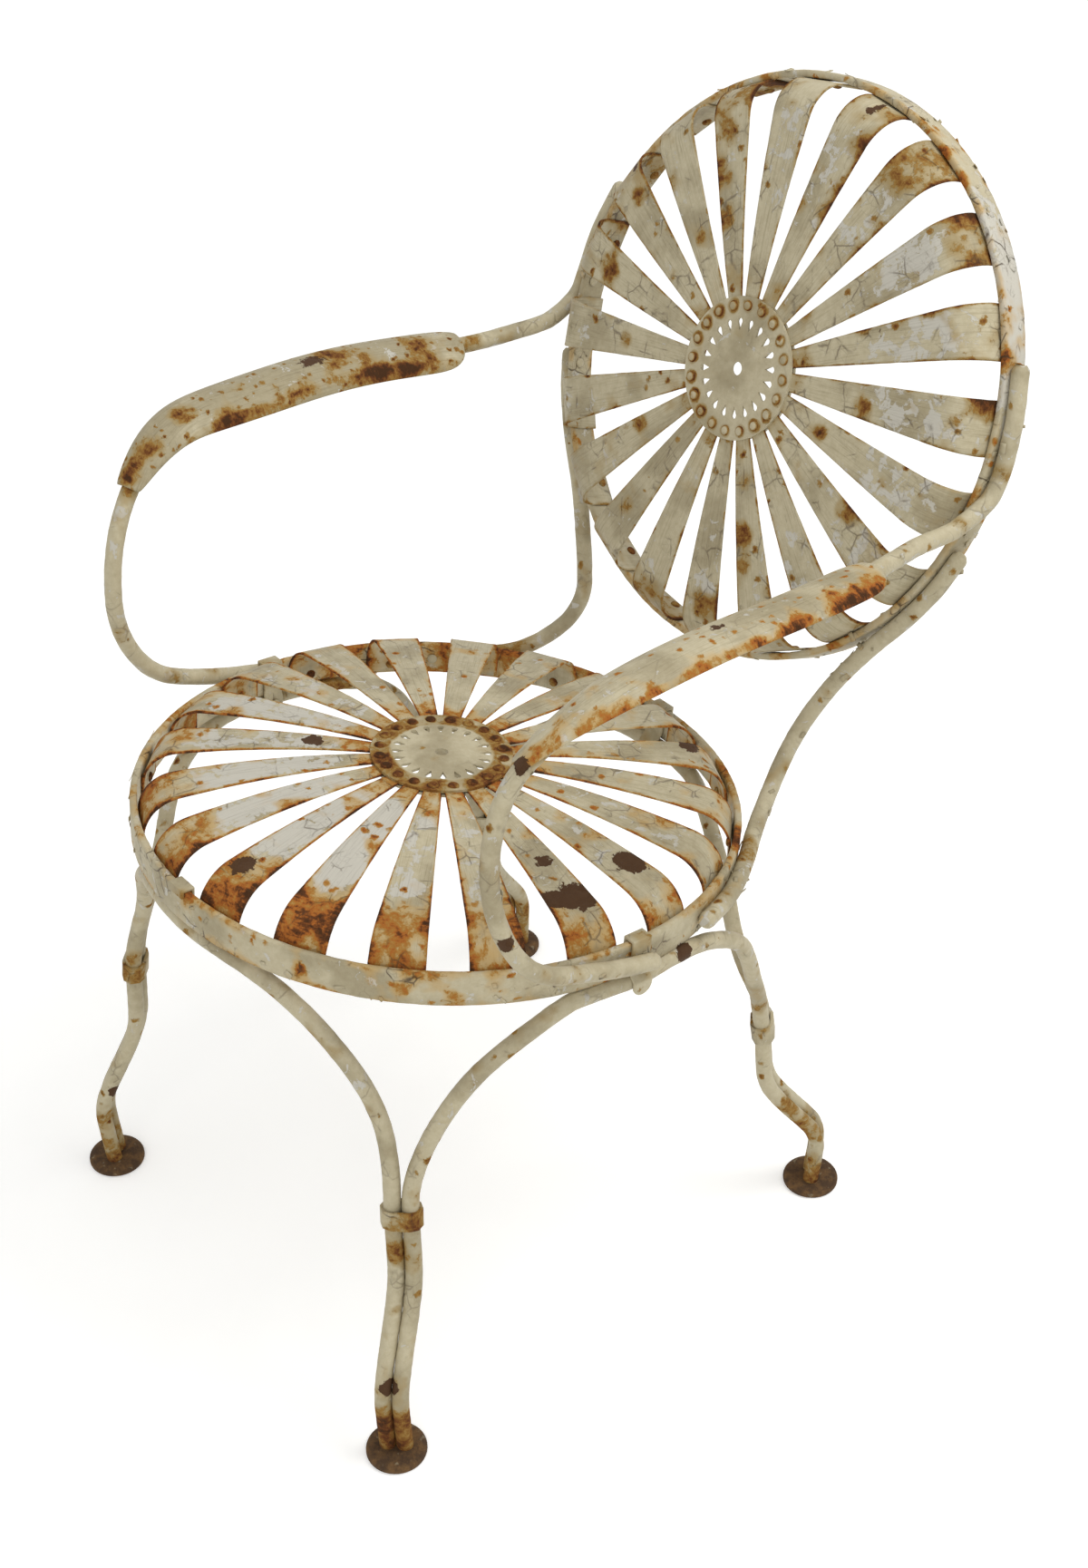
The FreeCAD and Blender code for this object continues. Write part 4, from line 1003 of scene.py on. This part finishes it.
# Spots on the bars, hoops, bands and arm rests: place and size in mm, strength
BAR_SPOTS = {
    "bare": ((214, -47, 351, 8, 1), (223, -205, 449, 7, 1), (222, -204, 562, 7, 1),
             (220, -190, 573, 7, 1), (-228, -20, 608, 9, 0.9), (191, -291, 73, 8, 0.9),
             (-178, -286, 84, 7, 0.9), (221, -40, 608, 6, 0.8), (226, -106, 608, 4, 0.9),
             (237, -88, 609, 4, 0.8)),
    "rust": ((246, 7, 602, 13, 0.5), (236, 84, 597, 18, 0.6), (242, 54, 598, 18, 0.6),
             (-220, -190, 573, 15, 0.5), (-212, -207, 459, 11, 0.5), (-204, 143, 586, 10, 0.45),
             (-208, 111, 588, 12, 0.5), (195, 111, 70, 16, 0.5), (188, 100, 102, 12, 0.45),
             (180, 66, 215, 14, 0.45), (-157, -263, 210, 16, 0.25), (176, -262, 208, 22, 0.2),
             (9, -301, 403, 9, 0.55), (0, -303, 390, 8, 0.45), (49, -296, 401, 8, 0.5),
             (101, -277, 389, 7, 0.6), (155, -236, 386, 7, 0.55), (176, -212, 377, 9, 0.65),
             (110, 276, 771, 10, 0.5), (86, 278, 782, 9, 0.45), (192, 245, 682, 9, 0.45),
             (216, 225, 619, 9, 0.5), (163, 51, 361, 20, 0.5), (197, -2, 368, 13, 0.4),
             (218, -91, 381, 12, 0.3), (-216, -169, 406, 9, 0.4), (-206, -107, 599, 13, 0.7),
             (-222, -130, 605, 11, 0.6), (-219, -171, 588, 9, 0.6), (-216, -161, 592, 8, 0.5),
             (-215, -181, 579, 10, 0.6), (-211, -62, 605, 9, 0.6), (-209, -44, 603, 9, 0.55),
             (-208, -83, 602, 9, 0.5), (-206, 18, 597, 13, 0.6), (-204, 40, 594, 13, 0.65),
             (-204, 61, 593, 12, 0.65), (-226, 65, 600, 13, 0.55), (-212, 80, 596, 14, 0.5),
             (-225, 24, 605, 13, 0.6), (-226, -2, 607, 20, 0.6), (-224, -80, 609, 6, 0.45),
             (245, 0, 604, 10, 0.65), (248, -26, 603, 8, 0.55), (224, -161, 595, 9, 0.6),
             (228, -175, 587, 9, 0.65), (240, -158, 594, 8, 0.55), (221, -135, 604, 7, 0.5),
             (244, -130, 604, 7, 0.5), (233, -27, 609, 6, 0.45), (219, -184, 578, 9, 0.65),
             (242, -145, 600, 9, 0.55), (243, -109, 607, 6, 0.45), (-168, 36, 352, 32, 0.55),
             (-78, 109, 364, 26, 0.45), (-129, 78, 367, 30, 0.55), (-203, -35, 356, 32, 0.5),
             (94, 103, 365, 22, 0.45), (189, -299, 38, 20, 0.3), (201, -284, 37, 20, 0.3),
             (168, -267, 175, 13, 0.5), (178, -258, 173, 15, 0.45), (181, -270, 128, 7, 0.45)),
}


def spots_at(points, spots):
    """How strongly the spots show at each point."""
    value = np.zeros(len(points))
    for *place, size, amount in spots:
        reach = np.linalg.norm(points - np.array(place) * MM, axis=1)
        value += amount * smooth_between(1.4 * size * MM, 0.4 * size * MM, reach)
    return value


def fan_spots_at(points, name, kind):
    """How strongly the spots of one kind on a fan show at each point of its plane."""
    placed = []
    for number, out, size, amount in FAN_SPOTS[name][kind]:
        turn = math.radians((number - 0.5) * 360 / len(RIM_RUST[name]))
        placed.append((out * math.cos(turn), out * math.sin(turn), size, amount))
    return spots_at(points[:, :2], placed)


def wear_of_bar(mesh, rust, chalk):
    """Keeps the rust and undercoat of a bar, hoop, band or arm rest, with the spots that lie on it."""
    points = points_of(mesh)
    store(mesh, "rust", rust + spots_at(points, BAR_SPOTS["rust"]))
    store(mesh, "chalk", np.broadcast_to(chalk, len(points)))
    store(mesh, "bare", spots_at(points, BAR_SPOTS["bare"]))


def wear_of_fan(mesh, place, name, seed):
    """Rust along slat edges, at the hub and at the rim, undercoat between, and single spots."""
    chance = np.random.default_rng(seed)
    points = level_points(mesh, place)
    radius = np.hypot(points[:, 0], points[:, 1])
    count = len(RIM_RUST[name])
    turn = np.degrees(np.arctan2(points[:, 1], points[:, 0])) % 360
    slat = (turn / (360 / count)).astype(int) % count
    edge, lie = stored(mesh, "edge"), stored(mesh, "lie")
    lie[:, 2] += slat * SLAT_SHIFT
    store(mesh, "lie", lie)

    own = chance.uniform(0.5, 1.0, count)[slat]
    rim = np.array(RIM_RUST[name])[slat]
    start = 0.198 - 0.03 * rim
    at_edge, at_hub, of_spots, sets_in = FAN_WEAR[name]
    rust = at_edge * own * smooth_between(0.78, 1.0, edge)
    rust += rim * smooth_between(start - 0.03, start + 0.02, radius)
    rust += at_hub * smooth_between(0.085, 0.055, radius)
    rust += of_spots * fan_spots_at(points, name, "rust")
    pale = np.array(UNDERCOAT[name])[slat] * smooth_between(start + 0.012, start - 0.02, radius)
    pale *= smooth_between(sets_in[0] * MM, sets_in[1] * MM, radius)
    store(mesh, "rust", np.minimum(rust, 1.1))
    store(mesh, "chalk", pale * (1.0 - 0.4 * edge ** 3))
    store(mesh, "bare", fan_spots_at(points, name, "bare"))


# Pieces

ARCHES = ("front_leg_arch", "left_leg_arch", "rear_leg_arch", "right_leg_arch")
OPEN_BARS = ("left_arm_bar", "right_arm_bar", "left_back_stay", "right_back_stay")
# Bands and feet: the node, its eased edge in mm, how rusty it is and its slot
BANDS = (("leg_collars", 0.8, 0.3, "bands"), ("hoop_clips", 0.7, 0.1, "bands"),
         ("feet", 1.6, 0.3, "foot_pads"))
CHIPPED = ("seat_hoop_bar", "back_hoop_bar", "left_back_stay_round", "left_arm_bar_round")


class ARMCHAIR_OT_slat_fans(bpy.types.Operator):
    """Make the fans of spring slats of the seat and the back"""
    bl_idname = "armchair.slat_fans"
    bl_label = "Slat Fans"

    def execute(self, context):
        slats, hub = context.scene.armchair_slats, context.scene.armchair_hub
        tree = ring_of_copies_tree()
        for index, name in enumerate(FANS):
            bowl, place, radius = bowl_of(name)
            blank = slat_blank(radius - bowl.wall, bowl, slats, hub)
            facing_outwards(blank)
            mesh = grow(name + "_slats_mesh", blank, tree, {
                "Count": slats.count, "First Turn": math.pi / slats.count, "Roll": slats.roll,
                "Lumps": slats.lumps, "Seed": SEEDS["slats"] + index,
                "Material": finish_of("brush-painted %s spring steel" % name)})
            mesh.transform(place)
            wear_of_fan(mesh, place, name, SEEDS["slat wear"] + index)
            nodes = ["%s_slat_%02d" % (name, number + 1) for number in range(slats.count)]
            add_piece(name + "_slats", mesh, nodes)
        return {"FINISHED"}


class ARMCHAIR_OT_hoops(bpy.types.Operator):
    """Make the flat bar hoops of the seat and the back"""
    bl_idname = "armchair.hoops"
    bl_label = "Hoops"

    def execute(self, context):
        tree = hoop_tree()
        for index, name in enumerate(FANS):
            bowl, place, radius = bowl_of(name)
            section = line_mesh("hoop_section", hoop_section(bowl))
            mesh = grow(name + "_hoop_mesh", section, tree, {
                "Radius": radius - bowl.wall / 2, "Lumps": bowl.lumps, "Seed": SEEDS["hoops"] + index,
                "Material": finish_of("brush-painted flat bar")})
            facing_outwards(mesh)
            mesh.transform(place)

            # Rust creeps in from both rims, and the upper left of the back shows most undercoat
            depth = -level_points(mesh, place)[:, 2]
            rim = smooth_between(5 * MM, 0, np.minimum(depth, bowl.depth - depth))
            points = points_of(mesh)
            bared = smooth_between(0.08, 0.2, points[:, 0]) * smooth_between(0.62, 0.7, points[:, 2])
            wear_of_bar(mesh, 0.1 + 0.3 * rim, 0.12 + 0.75 * bared)
            add_piece(name + "_hoop_bar", mesh, [name + "_hoop"])
        return {"FINISHED"}


class ARMCHAIR_OT_hubs(bpy.types.Operator):
    """Make the pierced hub discs and dress the rings behind them"""
    bl_idname = "armchair.hubs"
    bl_label = "Hubs"

    def execute(self, context):
        hub, slats = context.scene.armchair_hub, context.scene.armchair_slats
        tree = pierced_disc_tree()
        for index, name in enumerate(FANS):
            bowl, place, _ = bowl_of(name)
            place = place @ Matrix.Translation((0, 0, bowl.crown))
            finish = finish_of("brush-painted %s hub sheet" % name, hub=(place, *HUB_RUST[name]))
            mesh = grow(name + "_hub_mesh", line_mesh("teardrop", teardrop(hub)), tree, {
                "Count": slats.count, "Radius": hub.radius, "Hole": hub.hole_radius, "Sheet": hub.sheet,
                "Lumps": 0.0, "Seed": SEEDS["hubs"] + index, "Material": finish})
            facing_outwards(mesh)
            mesh.transform(place)
            mesh.shade_flat()
            add_piece(name + "_hub_disc", mesh, [name + "_hub"])
        rings = NODES["hub_rings"].data.materials
        rings.clear()
        rings.append(finish_of("brush-painted flat bar"))
        return {"FINISHED"}


class ARMCHAIR_OT_rivets(bpy.types.Operator):
    """Make the round rivet heads"""
    bl_idname = "armchair.rivets"
    bl_label = "Rivets"

    def execute(self, context):
        hub, slats = context.scene.armchair_hub, context.scene.armchair_slats
        tree = ring_of_copies_tree()
        finish = finish_of("painted rivet head")
        for index, name in enumerate(FANS):
            bowl, place, radius = bowl_of(name)
            top = bowl.crown + hub.sheet
            face = rim_reach(radius - bowl.wall, slats) - slats.strip
            on_hub = dome(hub.rivet_radius, hub.rivet_rise, (hub.rivet_circle, 0, top), (0, 0, 1))
            at_rim = dome(hub.rivet_radius, hub.rivet_rise, (face, 0, -hub.rim_drop), (-1, 0, 0))
            blank = mesh_from("rivets", *joined((on_hub, at_rim)))
            facing_outwards(blank)
            mesh = grow(name + "_rivets_mesh", blank, tree, {
                "Count": slats.count, "First Turn": math.pi / slats.count, "Roll": 0.0,
                "Lumps": hub.rivet_lumps, "Seed": SEEDS["rivets"] + index, "Material": finish})
            crest = points_of(mesh)[:, 2] > top + hub.rivet_rise * 0.55
            store(mesh, "rust", np.where(crest, *RIVET_RUST[name]))
            mesh.transform(place)
            add_piece(name + "_slat_rivets", mesh, ["slat_rivets"])

        # A frame rivet gets a low dome on each side, along the way in which it is thinnest
        work, heads = merged_copy("frame_rivets"), []
        for points in islands(work):
            middle = points.mean(0)
            axis = np.linalg.svd(points - middle)[2][2]
            for way in (axis, -axis):
                heads.append(dome(hub.rivet_radius, hub.rivet_rise * 0.6, middle, way))
        work.free()
        mesh = mesh_from("frame_rivet_heads", *joined(heads))
        facing_outwards(mesh)
        mesh.materials.append(finish)
        mesh.shade_smooth()
        add_piece("frame_rivet_heads", mesh, ["frame_rivets"])
        return {"FINISHED"}


class ARMCHAIR_OT_bars(bpy.types.Operator):
    """Make the round bars of the legs, arms and back stays"""
    bl_idname = "armchair.bars"
    bl_label = "Bars"

    def execute(self, context):
        bars = context.scene.armchair_bars
        tree = bar_tree()
        for index, name in enumerate(ARCHES + OPEN_BARS):
            path = bar_path(name)
            mesh = grow(name + "_mesh", line_mesh("path", path, closed=False), tree, {
                "Radius": bars.radius, "Lumps": bars.lumps, "Seed": SEEDS["bars"] + index,
                "Material": finish_of("brush-painted round bar")})
            if name in OPEN_BARS:
                round_ends(mesh, len(path))
            facing_outwards(mesh)

            # Bars rust most near the ground, and show undercoat only from 200 mm up
            height = points_of(mesh)[:, 2]
            low, lowest = smooth_between(0.09, 0.03, height), smooth_between(0.03, 0.012, height)
            wear_of_bar(mesh, 0.1 + 0.45 * low + 0.4 * lowest, 0.15 * smooth_between(0.2, 0.3, height))
            add_piece(name + "_round", mesh, [name])
        return {"FINISHED"}


class ARMCHAIR_OT_arm_rests(bpy.types.Operator):
    """Make the bowed sheet arm rests"""
    bl_idname = "armchair.arm_rests"
    bl_label = "Arm Rests"

    def execute(self, context):
        for side in ("left", "right"):
            name = side + "_arm_rest"
            work = merged_copy(name)
            flat_enough = math.radians(60)
            bmesh.ops.join_triangles(work, faces=work.faces, angle_face_threshold=flat_enough,
                                     angle_shape_threshold=flat_enough)
            carrier = new_object(name + "_base", mesh_of(work, name + "_mesh"))
            rounding = carrier.modifiers.new("smooth form", "SUBSURF")
            rounding.levels = rounding.render_levels = 2
            mesh = taken_off(carrier)
            mesh.materials.append(finish_of("brush-painted %s arm sheet" % side))
            mesh.shade_smooth()

            # Where a point lies along the rest comes from the nearest point of the bar under it
            points, path = points_of(mesh), np.array(bar_path(side + "_arm_bar"))
            apart = np.linalg.norm(points[:, None, :2] - path[None, :, :2], axis=2)
            apart[:, path[:, 2] < points[:, 2].min() - 0.05] = np.inf
            nearest = apart.argmin(1)
            along = nearest * context.scene.armchair_bars.step
            outwards = points[:, 0] - path[nearest, 0]
            store(mesh, "lie", np.stack([along, outwards, np.zeros(len(points))], 1))

            # Rust lies along the lip on the +X side, more towards the rear, and in a line along both edges
            lip = smooth_between(0.013, 0.021, outwards) * smooth_between(-0.13, 0.0, points[:, 1])
            line = smooth_between(0.0165, 0.0195, np.abs(outwards))
            wear_of_bar(mesh, 0.12 + 0.45 * np.maximum(lip, line), 0.1)
            add_piece(name + "_sheet", mesh, [name])
        return {"FINISHED"}


class ARMCHAIR_OT_bands(bpy.types.Operator):
    """Make the leg collars, the hoop clips and the foot pads with eased edges"""
    bl_idname = "armchair.bands"
    bl_label = "Bands and Feet"

    def execute(self, context):
        for name, ease, rust, slot in BANDS:
            work = merged_copy(name)
            bmesh.ops.dissolve_limit(work, angle_limit=math.radians(1), verts=work.verts, edges=work.edges)
            mesh = mesh_of(work, name + "_mesh")
            mesh.materials.append(rusted_pad() if name == "feet" else finish_of("brush-painted strap"))
            mesh.shade_smooth()
            wear_of_bar(mesh, rust, 0.05)
            made = add_piece(name + "_eased", mesh, [name])
            easing = made.modifiers.new("eased edges", "BEVEL")
            easing.width = ease * MM
            easing.segments = 3
            easing.limit_method = "ANGLE"
            easing.angle_limit = math.radians(25)
        return {"FINISHED"}


class ARMCHAIR_OT_paint_chips(bpy.types.Operator):
    """Scatter curled chips of paint on the hoops and bars"""
    bl_idname = "armchair.paint_chips"
    bl_label = "Paint Chips"

    def execute(self, context):
        bars = context.scene.armchair_bars
        tree = flake_tree()
        for index, name in enumerate(CHIPPED):
            mesh = grow(name + "_chips_mesh", bpy.data.objects[name].data.copy(), tree, {
                "Density": bars.chips, "Size": bars.chip, "Sheet": bars.chip_sheet, "Lumps": 0.0,
                "Seed": SEEDS["chips"] + index, "Material": finish_of("brush-painted flat bar")})
            add_piece(name + "_chips", mesh, ())
        return {"FINISHED"}


# Stage

# Half the width of the floor in metres, and how brightly it glows near the chair and far from it
FLOOR_REACH, FLOOR_GLOW = 30, (0.3, 0.46)
# Light that the world gives to the chair, while the world itself looks white
WORLD_LIGHT = 0.64
# Lights: place and width in metres, power in watts, and the point that both shine at
LIGHTS = {"key": ((0.9, 0.9, 2.6), 1.4, 30), "fill": ((1.6, -2.0, 1.6), 2.2, 17)}
LIT_POINT = Vector((0, 0, 0.4))


def seen_directly(tree):
    """One for the camera's own rays and for rays that a piece mirrors or lets through."""
    seen = add(tree, "ShaderNodeLightPath").outputs
    direct = add(tree, "ShaderNodeMath", {0: seen["Is Camera Ray"], 1: seen["Is Glossy Ray"]},
                 operation="MAXIMUM")
    return add(tree, "ShaderNodeMath", {0: direct, 1: seen["Is Transmission Ray"]}, operation="MAXIMUM")


def studio_paper(shade):
    """Matt pale paper that glows a little where it is seen directly, and more 1.4 to 3 metres out."""
    material, tree = new_material("matt studio paper")
    paper = add(tree, "ShaderNodeBsdfDiffuse", {"Color": make_linear(shade)})
    place = add(tree, "ShaderNodeTexCoord").outputs["Object"]
    reach = add(tree, "ShaderNodeVectorMath", {0: place}, operation="LENGTH").outputs["Value"]
    level = add(tree, "ShaderNodeMapRange",
                {"Value": reach, "From Min": 1.4, "From Max": 3.0, "To Min": FLOOR_GLOW[0],
                 "To Max": FLOOR_GLOW[1]}, interpolation_type="SMOOTHSTEP")
    level = add(tree, "ShaderNodeMath", {0: seen_directly(tree), 1: level}, operation="MULTIPLY")
    glow = add(tree, "ShaderNodeEmission", {"Strength": level})
    shader = add(tree, "ShaderNodeAddShader", {0: paper, 1: glow})
    add(tree, "ShaderNodeOutputMaterial", {"Surface": shader})
    return material


def soft_world():
    """A world that looks white and lights the chair softly from all sides."""
    world = bpy.data.worlds.new("soft studio")
    world.use_nodes = True
    tree = world.node_tree
    tree.nodes.clear()
    white = add(tree, "ShaderNodeBackground", {"Color": (1, 1, 1, 1)})
    soft = add(tree, "ShaderNodeBackground", {"Color": (1, 1, 1, 1), "Strength": WORLD_LIGHT})
    shader = add(tree, "ShaderNodeMixShader", {0: seen_directly(tree), 1: soft, 2: white})
    add(tree, "ShaderNodeOutputWorld", {"Surface": shader})
    return world


class ARMCHAIR_OT_stage(bpy.types.Operator):
    """Set the pale floor, the soft light and the camera"""
    bl_idname = "armchair.stage"
    bl_label = "Stage"

    def execute(self, context):
        scene, stage = context.scene, context.scene.armchair_stage
        corners = [(x, y, 0) for x, y in ((-1, -1), (1, -1), (1, 1), (-1, 1))]
        floor = new_object("floor", mesh_from("floor", np.array(corners) * FLOOR_REACH, [(0, 1, 2, 3)]))
        floor.data.materials.append(studio_paper(stage.floor))
        scene.world = soft_world()

        for name, (place, width, power) in LIGHTS.items():
            data = bpy.data.lights.new(name, "AREA")
            data.shape = "DISK"
            data.size = width
            data.energy = power
            lamp = new_object(name, data)
            lamp.location = place
            lamp.rotation_euler = (LIT_POINT - Vector(place)).to_track_quat("-Z", "Y").to_euler()

        view = bpy.data.cameras.new("camera")
        view.lens = stage.lens
        view.shift_x, view.shift_y = stage.shift
        view.clip_end = 100
        camera = new_object("camera", view)
        camera.location = stage.camera_place
        camera.rotation_euler = stage.camera_turn
        scene.camera = camera
        scene.view_settings.view_transform = "Standard"
        return {"FINISHED"}


OPERATORS = (ARMCHAIR_OT_slat_fans, ARMCHAIR_OT_hoops, ARMCHAIR_OT_hubs, ARMCHAIR_OT_rivets,
             ARMCHAIR_OT_bars, ARMCHAIR_OT_arm_rests, ARMCHAIR_OT_bands, ARMCHAIR_OT_paint_chips,
             ARMCHAIR_OT_stage)
GROUPS = {"slats": SlatSettings, "seat": BowlSettings, "back": BowlSettings, "hub": HubSettings,
          "bars": BarSettings, "paint": PaintSettings, "stage": StageSettings}


class ARMCHAIR_PT_panel(bpy.types.Panel):
    """Lists the steps that build the armchair"""
    bl_idname = "ARMCHAIR_PT_panel"
    bl_label = "Garden Armchair"
    bl_space_type = "VIEW_3D"
    bl_region_type = "UI"
    bl_category = "Armchair"

    def draw(self, context):
        for operator in OPERATORS:
            self.layout.operator(operator.bl_idname)
        for name in GROUPS:
            box = self.layout.box()
            group = getattr(context.scene, "armchair_" + name)
            for key in group.__annotations__:
                box.prop(group, key)


def register():
    """Adds the settings, the operators and the panel."""
    for group in dict.fromkeys(GROUPS.values()):
        bpy.utils.register_class(group)
    for name, group in GROUPS.items():
        setattr(bpy.types.Scene, "armchair_" + name, bpy.props.PointerProperty(type=group))
    for operator in OPERATORS:
        bpy.utils.register_class(operator)
    bpy.utils.register_class(ARMCHAIR_PT_panel)


def unregister():
    """Takes the panel, the operators and the settings away."""
    bpy.utils.unregister_class(ARMCHAIR_PT_panel)
    for operator in reversed(OPERATORS):
        bpy.utils.unregister_class(operator)
    for name in GROUPS:
        delattr(bpy.types.Scene, "armchair_" + name)
    for group in dict.fromkeys(GROUPS.values()):
        bpy.utils.unregister_class(group)


def main():
    """Builds the chair's looks."""
    register()
    for name, (tilt, depth, crown, bow_radius) in BOWLS.items():
        bowl = getattr(bpy.context.scene, "armchair_" + name)
        bowl.turn = math.radians(tilt)
        bowl.depth, bowl.crown, bowl.bow_radius = depth * MM, crown * MM, bow_radius * MM
    bpy.ops.armchair.slat_fans()
    bpy.ops.armchair.hoops()
    bpy.ops.armchair.hubs()
    bpy.ops.armchair.rivets()
    bpy.ops.armchair.bars()
    bpy.ops.armchair.arm_rests()
    bpy.ops.armchair.bands()
    bpy.ops.armchair.paint_chips()
    bpy.ops.armchair.stage()


if __name__ == "__main__":
    main()
